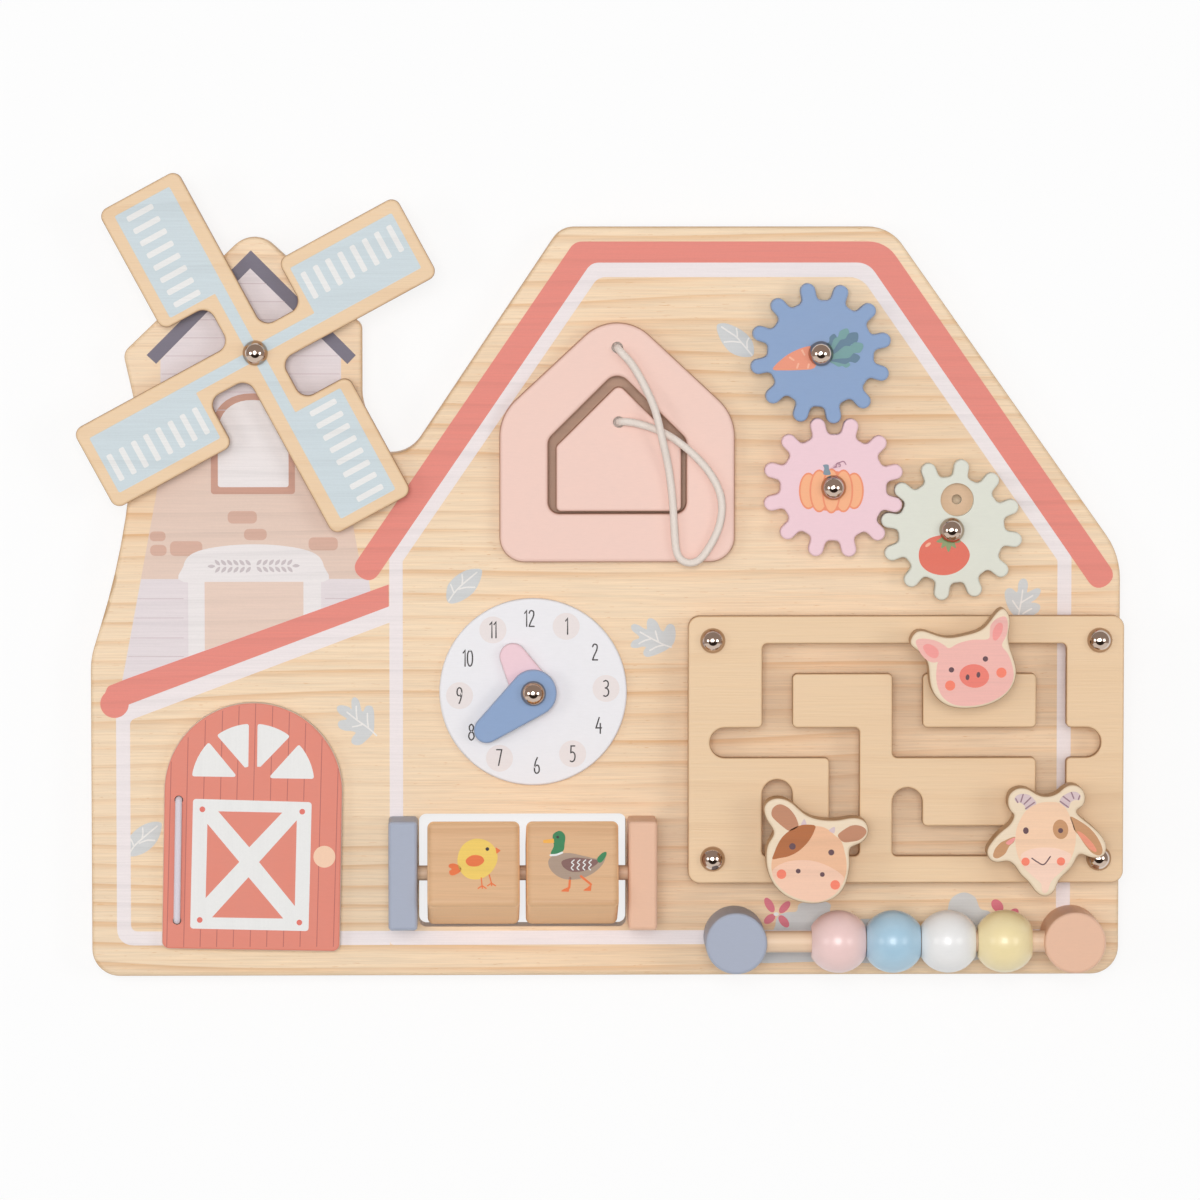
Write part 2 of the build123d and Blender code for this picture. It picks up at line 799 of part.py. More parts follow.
# The lacing cord's route, chosen by hand: out of the frame's hole, over its own other end in a low
# hump, down and round below the opening, and back to the insert's hole.
lace_start_z = face_z + knot_recess_depth
lace_low_z = frame_top_z + lace_radius + 0.5
lace_hump_z = lace_low_z + 5.0
lace_route = [
    (*frame_hole, lace_start_z),
    (*frame_hole, lace_start_z + 4.2),
    (frame_hole[0] + 2.0, frame_hole[1] - 2.3, lace_start_z + 6.6),
    (10.4, 95.6, lace_low_z + 0.7),
    (15.5, 86.6, lace_low_z + 1.2),
    (19.6, 77.2, lace_hump_z),
    (22.2, 65.6, lace_hump_z),
    (24.8, 54.6, lace_low_z + 1.0),
    (26.4, 42.2, lace_low_z),
    (27.1, 28.6, lace_low_z + 0.2),
    (27.9, 19.3, lace_low_z),
    (31.8, 16.1, lace_low_z + 0.2),
    (36.8, 16.8, lace_low_z),
    (41.2, 22.6, lace_low_z + 0.2),
    (45.6, 31.6, lace_low_z),
    (46.4, 42.4, lace_low_z + 0.2),
    (41.6, 52.4, lace_low_z),
    (33.4, 61.2, lace_low_z + 0.2),
    (23.8, 68.2, lace_low_z),
    (14.4, 71.6, lace_low_z + 0.2),
    (insert_hole[0] + 3.0, insert_hole[1] + 0.5, lace_start_z + 6.6),
    (*insert_hole, lace_start_z + 4.2),
    (*insert_hole, lace_start_z),
]


def route_radii(points):
    """Radius at each inner point: 0.45 of the shorter run over the tangent of half the turn."""
    radii = []
    for before, at, after in zip(points, points[1:], points[2:]):
        run_in = Vector(*at) - Vector(*before)
        run_out = Vector(*after) - Vector(*at)
        half_turn = radians(run_in.get_angle(run_out)) / 2
        radii.append(0.45 * min(run_in.length, run_out.length) / tan(half_turn))
    return radii


lace_radii = route_radii(lace_route)
with BuildPart() as lacing_cord:
    with BuildLine():
        FilletPolyline(*lace_route, radius=lace_radii)
    with BuildSketch(Plane.XY.offset(lace_start_z)):
        with Locations(frame_hole):
            Circle(lace_radius)
    sweep()
lacing_cord.part.label = "lacing_cord"
export_step(lacing_cord.part, "parts/lacing_cord.step")
print("lacing cord radii", [round(radius, 1) for radius in lace_radii])

# ---------------------------------------------------------------- spinning cubes


def make_cube_post(middle_x, inner_side):
    """Post beside the window, with a blind seat for the axle in its inner side."""
    with BuildPart() as post:
        with Locations((middle_x, cube_axis_y, face_z)):
            Box(
                cube_post_thickness,
                cube_post_depth,
                cube_post_height,
                align=(Align.CENTER, Align.CENTER, Align.MIN),
            )
        fillet(top_edges(post) + post.edges().filter_by(Axis.Z), cube_post_rounding)
        seat_x = middle_x + inner_side * (cube_post_thickness / 2 - cube_axle_seat / 2)
        with Locations((seat_x, cube_axis_y, cube_axis_z)):
            Cylinder(
                cube_axle_radius + fit_clearance,
                cube_axle_seat,
                rotation=(0, 90, 0),
                mode=Mode.SUBTRACT,
            )
        screw_points = [point for point in cube_screw_points if point[0] == middle_x]
        with BuildSketch(Plane.XY.offset(face_z)):
            with Locations(*screw_points):
                Circle(wood_screw_radius + fit_clearance)
        extrude(amount=cube_screw_bite, mode=Mode.SUBTRACT)
    return post


cube_post_left = make_cube_post(cube_post_left_x, 1)
cube_post_left.part.label = "cube_post_left"
export_step(cube_post_left.part, "parts/cube_post_left.step")

cube_post_right = make_cube_post(cube_post_right_x, -1)
cube_post_right.part.label = "cube_post_right"
export_step(cube_post_right.part, "parts/cube_post_right.step")

cube_post_screws = make_screws(cube_screw_points, wood_screw_radius, cube_screw_length)
cube_post_screws.part.label = "cube_post_screws"
export_step(cube_post_screws.part, "parts/cube_post_screws.step")

axle_start_x = cube_post_left_x + cube_post_thickness / 2 - cube_axle_seat
axle_end_x = cube_post_right_x - cube_post_thickness / 2 + cube_axle_seat
with BuildPart() as cube_axle:
    with Locations(((axle_start_x + axle_end_x) / 2, cube_axis_y, cube_axis_z)):
        Cylinder(cube_axle_radius, axle_end_x - axle_start_x, rotation=(0, 90, 0))
cube_axle.part.label = "cube_axle"
export_step(cube_axle.part, "parts/cube_axle.step")


def make_cube(middle_x):
    """Block with rounded edges, bored for the axle and stopped partly turned."""
    cube_plane = Plane(
        origin=(middle_x, cube_axis_y, cube_axis_z),
        x_dir=(1, 0, 0),
        z_dir=(0, sin(radians(cube_tilt)), cos(radians(cube_tilt))),
    )
    with BuildPart() as cube:
        with Locations(cube_plane):
            Box(cube_length, cube_section, cube_section)
        fillet(cube.edges(), cube_rounding)
        with Locations(cube_plane):
            Cylinder(
                cube_axle_radius + running_clearance,
                cube_length,
                rotation=(0, 90, 0),
                mode=Mode.SUBTRACT,
            )
    return cube


cube_left_x = window_left_x + cube_side_play + cube_length / 2
cube_right_x = cube_left_x + cube_length + cube_gap_between

cube_left = make_cube(cube_left_x)
cube_left.part.label = "cube_left"
export_step(cube_left.part, "parts/cube_left.step")

cube_right = make_cube(cube_right_x)
cube_right.part.label = "cube_right"
export_step(cube_right.part, "parts/cube_right.step")

# ---------------------------------------------------------------- bead rail

bead_rail_z = face_z + bead_rail_rise


def make_bead_post(middle_x, inner_side):
    """Round post with a blind seat for the rod in its inner side."""
    with BuildPart() as post:
        with Locations((middle_x, bead_rail_y, face_z)):
            Cylinder(bead_post_radius, bead_post_height, align=(Align.CENTER, Align.CENTER, Align.MIN))
        fillet(top_edges(post), bead_post_rounding)
        seat_x = middle_x + inner_side * (bead_post_radius - bead_rod_seat / 2)
        with Locations((seat_x, bead_rail_y, bead_rail_z)):
            Cylinder(
                bead_rod_radius + fit_clearance,
                bead_rod_seat,
                rotation=(0, 90, 0),
                mode=Mode.SUBTRACT,
            )
        with BuildSketch(Plane.XY.offset(face_z)):
            with Locations((middle_x, bead_rail_y)):
                Circle(wood_screw_radius + fit_clearance)
        extrude(amount=bead_screw_bite, mode=Mode.SUBTRACT)
    return post


bead_post_left = make_bead_post(bead_post_left_x, 1)
bead_post_left.part.label = "bead_post_left"
export_step(bead_post_left.part, "parts/bead_post_left.step")

bead_post_right = make_bead_post(bead_post_right_x, -1)
bead_post_right.part.label = "bead_post_right"
export_step(bead_post_right.part, "parts/bead_post_right.step")

bead_post_screws = make_screws(bead_screw_points, wood_screw_radius, bead_screw_length)
bead_post_screws.part.label = "bead_post_screws"
export_step(bead_post_screws.part, "parts/bead_post_screws.step")

rod_start_x = bead_post_left_x + bead_post_radius - bead_rod_seat
rod_end_x = bead_post_right_x - bead_post_radius + bead_rod_seat
with BuildPart() as bead_rod:
    with Locations(((rod_start_x + rod_end_x) / 2, bead_rail_y, bead_rail_z)):
        Cylinder(bead_rod_radius, rod_end_x - rod_start_x, rotation=(0, 90, 0))
bead_rod.part.label = "bead_rod"
export_step(bead_rod.part, "parts/bead_rod.step")

bead_x = bead_post_left_x + bead_post_radius + bead_first_gap + bead_length / 2
for colour, gap_after in zip(bead_colours, bead_gaps):
    with BuildPart() as bead:
        with Locations((bead_x, bead_rail_y, bead_rail_z)):
            Sphere(bead_radius)
            Box(bead_length, 2 * bead_radius, 2 * bead_radius, mode=Mode.INTERSECT)
            Cylinder(bead_bore_radius, bead_length, rotation=(0, 90, 0), mode=Mode.SUBTRACT)
    bead.part.label = "bead_" + colour
    export_step(bead.part, f"parts/bead_{colour}.step")
    bead_x += bead_length + gap_after

# ---------------------------------------------------------------- slide maze

slot_turns = [
    (column_one, row_top),
    (column_three, row_top),
    (column_four, row_top),
    (column_one, row_middle),
    (column_two, row_middle),
    (column_three, row_middle),
    (column_four, row_middle),
    (column_one, row_bottom),
    (column_two, row_bottom),
    (column_three, row_bottom),
    (column_four, row_bottom),
]
slot_ends = [
    (left_end_x, row_middle),
    (right_end_x, row_middle),
    (column_one, stub_one_y),
    (column_three, stub_three_y),
]
slot_runs = [
    ((column_one, row_top), (column_four, row_top)),
    ((left_end_x, row_middle), (column_two, row_middle)),
    ((column_three, row_middle), (right_end_x, row_middle)),
    ((column_one, row_bottom), (column_two, row_bottom)),
    ((column_three, row_bottom), (column_four, row_bottom)),
    ((column_one, row_middle), (column_one, row_top)),
    ((column_one, row_bottom), (column_one, stub_one_y)),
    ((column_two, row_bottom), (column_two, row_middle)),
    ((column_three, row_middle), (column_three, row_top)),
    ((column_three, row_bottom), (column_three, stub_three_y)),
    ((column_four, row_bottom), (column_four, row_top)),
]
island_width = island_right - island_left
island_height = island_high - island_low

with BuildPart() as maze_plate:
    with BuildSketch(mode=Mode.PRIVATE) as maze_slots:
        for start, end in slot_runs:
            run_width = max(end[0] - start[0], slot_width)
            run_height = max(end[1] - start[1], slot_width)
            with Locations(((start[0] + end[0]) / 2, (start[1] + end[1]) / 2)):
                Rectangle(run_width, run_height)
        with Locations(*slot_turns):
            Rectangle(slot_width, slot_width)
        with Locations(island_middle):
            Rectangle(island_width, island_height)
        bends = [
            corner
            for corner in vertices()
            if min(hypot(corner.X - x, corner.Y - y) for x, y in slot_ends) > 0.6 * slot_width
        ]
        fillet(bends, slot_corner_radius)
        with Locations(*slot_ends):
            Circle(slot_width / 2)
    with BuildSketch(Plane.XY.offset(maze_plate_z)):
        with Locations(maze_centre):
            RectangleRounded(maze_width, maze_height, maze_corner_radius)
        add(maze_slots.sketch_local, mode=Mode.SUBTRACT)
    extrude(amount=maze_plate_thickness)
    fillet(top_edges(maze_plate), maze_edge_radius)
    with BuildSketch(Plane.XY.offset(maze_plate_z)):
        with Locations(*maze_corners):
            Circle(stud_radius + fit_clearance)
    extrude(amount=maze_plate_thickness, mode=Mode.SUBTRACT)
maze_plate.part.label = "maze_plate"
export_step(maze_plate.part, "parts/maze_plate.step")

with BuildPart() as maze_island:
    with BuildSketch(Plane.XY.offset(maze_plate_z)):
        with Locations(island_middle):
            RectangleRounded(island_width, island_height, slot_corner_radius)
    extrude(amount=maze_plate_thickness)
    fillet(top_edges(maze_island), maze_edge_radius)
    with BuildSketch(Plane.XY.offset(maze_plate_z)):
        with Locations(*island_screw_points):
            Circle(wood_screw_radius + fit_clearance)
    extrude(amount=island_screw_bite, mode=Mode.SUBTRACT)
maze_island.part.label = "maze_island"
export_step(maze_island.part, "parts/maze_island.step")

with BuildPart() as maze_island_block:
    with BuildSketch(Plane.XY.offset(face_z)):
        with Locations(island_middle):
            block_width = island_width - island_block_margin
            RectangleRounded(block_width, island_height - island_block_margin, slot_corner_radius)
        with Locations(*island_screw_points):
            Circle(wood_screw_radius + fit_clearance, mode=Mode.SUBTRACT)
    extrude(amount=maze_gap)
maze_island_block.part.label = "maze_island_block"
export_step(maze_island_block.part, "parts/maze_island_block.step")

maze_island_screws = make_screws(island_screw_points, wood_screw_radius, island_screw_length)
maze_island_screws.part.label = "maze_island_screws"
export_step(maze_island_screws.part, "parts/maze_island_screws.step")

maze_spacers = make_rings(
    maze_corners, face_z, maze_gap, maze_spacer_radius, stud_radius + fit_clearance
)
maze_spacers.part.label = "maze_spacers"
export_step(maze_spacers.part, "parts/maze_spacers.step")

maze_studs = make_studs(maze_corners, maze_top_z)
maze_studs.part.label = "maze_studs"
export_step(maze_studs.part, "parts/maze_studs.step")

maze_back_screws = make_screws(maze_corners, thread_radius - fit_clearance, stud_screw_length)
maze_back_screws.part.label = "maze_back_screws"
export_step(maze_back_screws.part, "parts/maze_back_screws.step")

# ---------------------------------------------------------------- animals

head_z = maze_top_z + dome_radius + head_lift
collar_z = face_z + collar_lift
sleeve_top_z = head_z - runner_end_play
peg_foot_z = collar_z - runner_end_play

# Outlines of the heads, relative to their pegs
pig_outline = [
    (-20.3, 9.3),
    (-16.7, 12.5),
    (-10.9, 11.0),
    (-5.1, 9.8),
    (1.3, 10.8),
    (7.7, 13.0),
    (12.1, 17.8),
    (16.4, 21.2),
    (18.9, 17.5),
    (18.4, 10.7),
    (19.4, 4.5),
    (21.6, -3.4),
    (20.4, -9.2),
    (15.8, -14.5),
    (8.8, -17.6),
    (0.7, -18.5),
    (-6.2, -17.1),
    (-10.7, -13.3),
    (-12.9, -6.9),
    (-13.7, -0.5),
    (-17.6, 4.5),
]
cow_outline = [
    (-20.8, 13.7),
    (-20.0, 17.0),
    (-17.2, 18.8),
    (-13.6, 18.9),
    (-9.5, 17.0),
    (-5.5, 13.5),
    (-1.5, 11.3),
    (3.8, 10.3),
    (9.0, 10.4),
    (15.1, 11.2),
    (19.1, 9.9),
    (20.7, 6.5),
    (19.7, 3.0),
    (16.7, 0.6),
    (13.6, -1.0),
    (13.3, -5.2),
    (12.9, -10.9),
    (11.3, -16.1),
    (7.8, -20.4),
    (1.8, -22.8),
    (-5.5, -22.6),
    (-12.4, -19.8),
    (-17.2, -14.9),
    (-19.4, -9.7),
    (-20.0, -3.6),
    (-19.0, 1.2),
    (-17.0, 5.2),
    (-18.8, 8.9),
]
goat_outline = [
    (-13.7, 12.7),
    (-15.7, 16.6),
    (-15.0, 20.4),
    (-12.0, 22.7),
    (-7.7, 22.5),
    (-3.4, 20.1),
    (0.4, 19.6),
    (4.1, 20.9),
    (7.3, 23.4),
    (10.7, 24.1),
    (14.1, 22.1),
    (15.1, 18.7),
    (13.9, 15.5),
    (11.8, 13.8),
    (14.1, 10.6),
    (18.2, 7.3),
    (21.7, 3.7),
    (23.6, -0.6),
    (22.5, -4.0),
    (19.1, -5.1),
    (15.9, -4.4),
    (13.1, -3.7),
    (10.7, -7.2),
    (7.7, -10.9),
    (4.7, -14.3),
    (2.8, -18.4),
    (-0.7, -20.4),
    (-4.3, -18.6),
    (-7.3, -14.7),
    (-10.7, -11.3),
    (-13.1, -7.9),
    (-15.4, -6.4),
    (-19.3, -6.8),
    (-22.5, -5.7),
    (-23.9, -2.7),
    (-22.3, 1.1),
    (-18.0, 5.8),
    (-13.9, 9.9),
]


def make_head(peg_point, outline):
    """Head with a turned peg under it, drilled for the screw that keeps it in its runner."""
    with BuildPart() as head:
        with BuildSketch(Plane.XY.offset(head_z)):
            with BuildLine():
                Spline(*[(peg_point[0] + x, peg_point[1] + y) for x, y in outline], periodic=True)
            make_face()
        extrude(amount=head_thickness)
        fillet(top_edges(head), head_edge_radius)
        fillet(bottom_edges(head), head_edge_radius)
        with BuildSketch(Plane.XY.offset(peg_foot_z)):
            with Locations(peg_point):
                Circle(peg_radius)
        extrude(amount=head_z - peg_foot_z)
        with BuildSketch(Plane.XY.offset(peg_foot_z)):
            with Locations(peg_point):
                Circle(retainer_radius + fit_clearance)
        extrude(amount=retainer_length, mode=Mode.SUBTRACT)
    return head


def make_runner(peg_point):
    """Collar under the maze plate with a sleeve up through the slot."""
    with BuildPart() as runner:
        with BuildSketch(Plane.XY.offset(collar_z)):
            with Locations(peg_point):
                Circle(collar_radius)
        extrude(amount=collar_thickness)
        with BuildSketch(Plane.XY.offset(collar_z)):
            with Locations(peg_point):
                Circle(runner_radius)
        extrude(amount=sleeve_top_z - collar_z)
        with Locations((*peg_point, collar_z)):
            Hole(runner_bore_radius)
    return runner


def make_retainer(peg_point):
    """Pan-head screw under the peg, wider than the runner's bore."""
    with BuildPart() as retainer:
        with BuildSketch(Plane.XY.offset(peg_foot_z - retainer_head_height)):
            with Locations(peg_point):
                Circle(retainer_head_radius)
        extrude(amount=retainer_head_height)
        fillet(bottom_edges(retainer), retainer_head_height / 3)
        with BuildSketch(Plane.XY.offset(peg_foot_z)):
            with Locations(peg_point):
                Circle(retainer_radius)
        extrude(amount=retainer_length)
    return retainer


pig_head = make_head(pig_peg, pig_outline)
pig_head.part.label = "pig_head"
export_step(pig_head.part, "parts/pig_head.step")

pig_runner = make_runner(pig_peg)
pig_runner.part.label = "pig_runner"
export_step(pig_runner.part, "parts/pig_runner.step")

pig_screw = make_retainer(pig_peg)
pig_screw.part.label = "pig_screw"
export_step(pig_screw.part, "parts/pig_screw.step")

cow_head = make_head(cow_peg, cow_outline)
cow_head.part.label = "cow_head"
export_step(cow_head.part, "parts/cow_head.step")

cow_runner = make_runner(cow_peg)
cow_runner.part.label = "cow_runner"
export_step(cow_runner.part, "parts/cow_runner.step")

cow_screw = make_retainer(cow_peg)
cow_screw.part.label = "cow_screw"
export_step(cow_screw.part, "parts/cow_screw.step")

goat_head = make_head(goat_peg, goat_outline)
goat_head.part.label = "goat_head"
export_step(goat_head.part, "parts/goat_head.step")

goat_runner = make_runner(goat_peg)
goat_runner.part.label = "goat_runner"
export_step(goat_runner.part, "parts/goat_runner.step")

goat_screw = make_retainer(goat_peg)
goat_screw.part.label = "goat_screw"
export_step(goat_screw.part, "parts/goat_screw.step")
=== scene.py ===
"""Wooden farm busy board: finishes, printed artwork, cords, floor, lamps and camera."""

import logging
import math
from dataclasses import dataclass, field
from enum import Enum
from typing import Optional, Sequence, Union

import bpy
from mathutils import Matrix, Vector
from mathutils.geometry import tessellate_polygon


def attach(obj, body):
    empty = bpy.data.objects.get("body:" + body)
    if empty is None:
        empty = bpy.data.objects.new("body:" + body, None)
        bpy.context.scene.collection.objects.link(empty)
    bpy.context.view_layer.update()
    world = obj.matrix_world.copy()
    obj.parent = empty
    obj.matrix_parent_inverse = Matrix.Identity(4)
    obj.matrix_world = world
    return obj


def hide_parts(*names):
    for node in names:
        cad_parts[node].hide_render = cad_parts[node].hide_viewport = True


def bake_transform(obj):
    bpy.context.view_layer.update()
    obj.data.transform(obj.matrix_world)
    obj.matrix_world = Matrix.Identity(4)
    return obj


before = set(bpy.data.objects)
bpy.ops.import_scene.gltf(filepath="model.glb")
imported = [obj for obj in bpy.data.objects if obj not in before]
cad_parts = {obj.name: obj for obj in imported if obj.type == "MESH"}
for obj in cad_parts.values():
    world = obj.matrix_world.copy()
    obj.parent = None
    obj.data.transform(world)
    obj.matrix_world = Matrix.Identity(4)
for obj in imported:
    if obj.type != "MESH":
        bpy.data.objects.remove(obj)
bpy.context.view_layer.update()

log = logging.getLogger("busy_board")

MM = 0.001
# Heights of the printed faces, in millimetres.
FACE_Z, DOOR_Z, DIAL_Z, HOLLOW_Z, WHEEL_Z, HEAD_Z = 15.0, 20.3, 18.0, 21.0, 24.0, 45.6

Point = tuple[float, float]
Loop = list[Point]
Space = tuple[float, float, float]
Shade = tuple[int, int, int]

SCREEN_KNEE, SCREEN_SLOPE, SCREEN_LIFT, SCREEN_POWER = 0.04045, 12.92, 0.055, 2.4


def linear(rgb: Shade) -> tuple[float, float, float, float]:
    """Turns a screen colour into the linear colour that a shader works in.

    Args:
        rgb: Red, green and blue from 0 to 255.

    Returns:
        Linear red, green, blue and an alpha of 1.
    """
    parts = [c / 255 for c in rgb]
    low = [c / SCREEN_SLOPE for c in parts]
    high = [((c + SCREEN_LIFT) / (1 + SCREEN_LIFT)) ** SCREEN_POWER for c in parts]
    return (*[a if c <= SCREEN_KNEE else b for c, a, b in zip(parts, low, high)], 1.0)


# ---------------------------------------------------------------- shader expressions


class Wire:
    """A node's output that takes part in arithmetic."""

    def __init__(self, graph: "Graph", socket: bpy.types.NodeSocket) -> None:
        """Keeps the socket and the graph it belongs to."""
        self.graph = graph
        self.socket = socket

    def _math(self, operation: str, first: "Value", second: "Value") -> "Wire":
        """Adds one Math node on two values."""
        return self.graph.node("ShaderNodeMath", {"operation": operation}, {0: first, 1: second})

    def __add__(self, other: "Value") -> "Wire":
        """Sum."""
        return self._math("ADD", self, other)

    def __radd__(self, other: "Value") -> "Wire":
        """Sum with a plain number on the left."""
        return self._math("ADD", other, self)

    def __sub__(self, other: "Value") -> "Wire":
        """Difference."""
        return self._math("SUBTRACT", self, other)

    def __rsub__(self, other: "Value") -> "Wire":
        """Difference from a plain number."""
        return self._math("SUBTRACT", other, self)

    def __mul__(self, other: "Value") -> "Wire":
        """Product."""
        return self._math("MULTIPLY", self, other)

    def __rmul__(self, other: "Value") -> "Wire":
        """Product with a plain number on the left."""
        return self._math("MULTIPLY", other, self)

    def __truediv__(self, other: "Value") -> "Wire":
        """Quotient."""
        return self._math("DIVIDE", self, other)

    def __abs__(self) -> "Wire":
        """Size without its sign."""
        return self._math("ABSOLUTE", self, 0.0)


Value = Union[Wire, float]


class Graph:
    """The node tree of one material."""

    def __init__(self, tree: bpy.types.NodeTree) -> None:
        """Starts from an empty tree."""
        self.tree = tree
        tree.nodes.clear()

    def node(
        self, kind: str, settings: Optional[dict] = None, inputs: Optional[dict] = None, output: Union[int, str] = 0
    ) -> Wire:
        """Adds a node.

        Args:
            kind: The node's type.
            settings: Properties to set first.
            inputs: Socket name or number to a value or a Wire.
            output: Which output to hand back.

        Returns:
            The chosen output.
        """
        made = self.tree.nodes.new(kind)
        for name, value in (settings or {}).items():
            setattr(made, name, value)
        for key, value in (inputs or {}).items():
            socket = made.inputs[key]
            if isinstance(value, Wire):
                self.tree.links.new(value.socket, socket)
            else:
                socket.default_value = value
        return Wire(self, made.outputs[output] if made.outputs else None)

    def place(self, output: str = "Object") -> Wire:
        """The piece's own coordinates in metres, or another output of the same node."""
        return self.node("ShaderNodeTexCoord", output=output)

    def split(self, vector: Wire) -> tuple[Wire, Wire, Wire]:
        """The three parts of a vector."""
        first = self.node("ShaderNodeSeparateXYZ", inputs={0: vector})
        outs = first.socket.node.outputs
        return first, Wire(self, outs[1]), Wire(self, outs[2])

    def upright(self) -> Wire:
        """How squarely the surface faces up or down, from 0 to 1."""
        _, _, up = self.split(self.place("Normal"))
        return abs(up)

    def join(self, x: Value, y: Value, z: Value) -> Wire:
        """A vector from its three parts."""
        return self.node("ShaderNodeCombineXYZ", inputs={0: x, 1: y, 2: z})

    def scaled(self, vector: Wire, by: Space) -> Wire:
        """A vector times another, part by part."""
        return self.node("ShaderNodeVectorMath", {"operation": "MULTIPLY"}, {0: vector, 1: by})

    def noise(self, vector: Wire, scale: float, detail: float = 2.0, distortion: float = 0.0) -> Wire:
        """Smooth noise around 0.5."""
        return self.node(
            "ShaderNodeTexNoise",
            {"noise_dimensions": "3D"},
            {"Vector": vector, "Scale": scale, "Detail": detail, "Distortion": distortion},
        )

    def ramp(self, factor: Wire, low: float, high: float) -> Wire:
        """0 below low, 1 above high and smooth between."""
        return self.node(
            "ShaderNodeMapRange",
            {"interpolation_type": "SMOOTHSTEP"},
            {"Value": factor, "From Min": low, "From Max": high, "To Min": 0.0, "To Max": 1.0},
        )

    def mix(self, factor: Value, first: object, second: object, mode: str = "MIX") -> Wire:
        """Blends two colours."""
        return self.node(
            "ShaderNodeMix",
            {"data_type": "RGBA", "blend_type": mode, "clamp_factor": True},
            {0: factor, 6: first, 7: second},
            2,
        )

    def tone(self, colour: object, level: Wire) -> Wire:
        """A colour times a grey level."""
        grey = self.node("ShaderNodeCombineColor", inputs={0: level, 1: level, 2: level})
        return self.mix(1.0, colour, grey, "MULTIPLY")

    def bump(self, height: Wire, strength: float, distance: float) -> Wire:
        """A bumped normal."""
        return self.node("ShaderNodeBump", inputs={"Height": height, "Strength": strength, "Distance": distance})

    def finish(self, inputs: dict) -> None:
        """Ends the tree in one Principled shader with these sockets."""
        shader = self.node("ShaderNodeBsdfPrincipled", inputs=inputs)
        self.node("ShaderNodeOutputMaterial", inputs={"Surface": shader})


# ---------------------------------------------------------------- finishes


@dataclass(frozen=True)
class Finish:
    """A finish that pieces can share."""

    name: str

    def dress(self, graph: Graph) -> None:
        """Builds the shader in the graph."""
        raise NotImplementedError

    def material(self) -> bpy.types.Material:
        """The material, made once and then shared."""
        name = f"{self.name}_finish"
        found = bpy.data.materials.get(name)
        if found is None:
            found = bpy.data.materials.new(name)
            found.use_nodes = True
            self.dress(Graph(found.node_tree))
        return found


# Noise frequencies along the three axes, per metre, and the part of each noise that shows.
PLANK_PHASE = 0.37
SWAY_SCALE, SWAY_RINGS = (2.2, 15.0, 15.0), 3.4
LATE_RISE, LATE_FALL = (0.55, 0.98), (0.0, 0.06)
PATCH_SCALE, PATCH_RANGE, PATCH_SHARE = (7.0, 40.0, 40.0), (0.36, 0.66), 0.85
FIBRE_SCALE = (45.0, 1500.0, 700.0)
STREAK_SCALE, STREAK_RANGE, STREAK_SHARE = (11.0, 1000.0, 450.0), (0.53, 0.68), 0.24
WARM_SCALE, WARM_RANGE = (5.0, 14.0, 14.0), (0.4, 0.7)
FLECK_SCALE, FLECK_RANGE = (230.0, 2100.0, 900.0), (0.70, 0.78)
PORE_SCALE = (300.0, 1500.0, 900.0)
MOTTLE_SCALE, SPECKLE_SCALE, SMEAR_SCALE, FUZZ_SCALE = 160.0, 1300.0, 420.0, 5200.0
# How far the normal's upright part must fall for a place to count as a side, a worn rim or the sloping flank of a
# screw or dome, where a dome's rim colour is a painted reflection of the wood.
WOOD_SIDE, PAINT_SIDE, METAL_FLANK = (0.35, 0.8), (0.4, 0.85), (0.5, 0.74)
RIM_RISE, RIM_FALL = (0.2, 0.6), (0.75, 0.97)
PLY_RANGE, PLY_DARK, PLY_LIFT = (0.3, 0.7), 0.82, 0.24
# How far the tone and the gloss swing, and the bumps as strength and depth in metres.
PLANK_SWING, SAWN_LEVEL, SAWN_SWING = 0.05, 0.9, 0.2
WOOD_GLOSS_SWING, WOOD_BUMP = 0.25, (0.22, 0.0004)
INK_FIBRE, INK_RINGS, INK_SPECKLE, INK_GLOSS, INK_BUMP = 0.16, 0.07, 0.05, 0.52, (0.15, 0.0003)
WORN, WHITE = (0.9, 0.86, 0.8, 1.0), (1.0, 1.0, 1.0, 1.0)


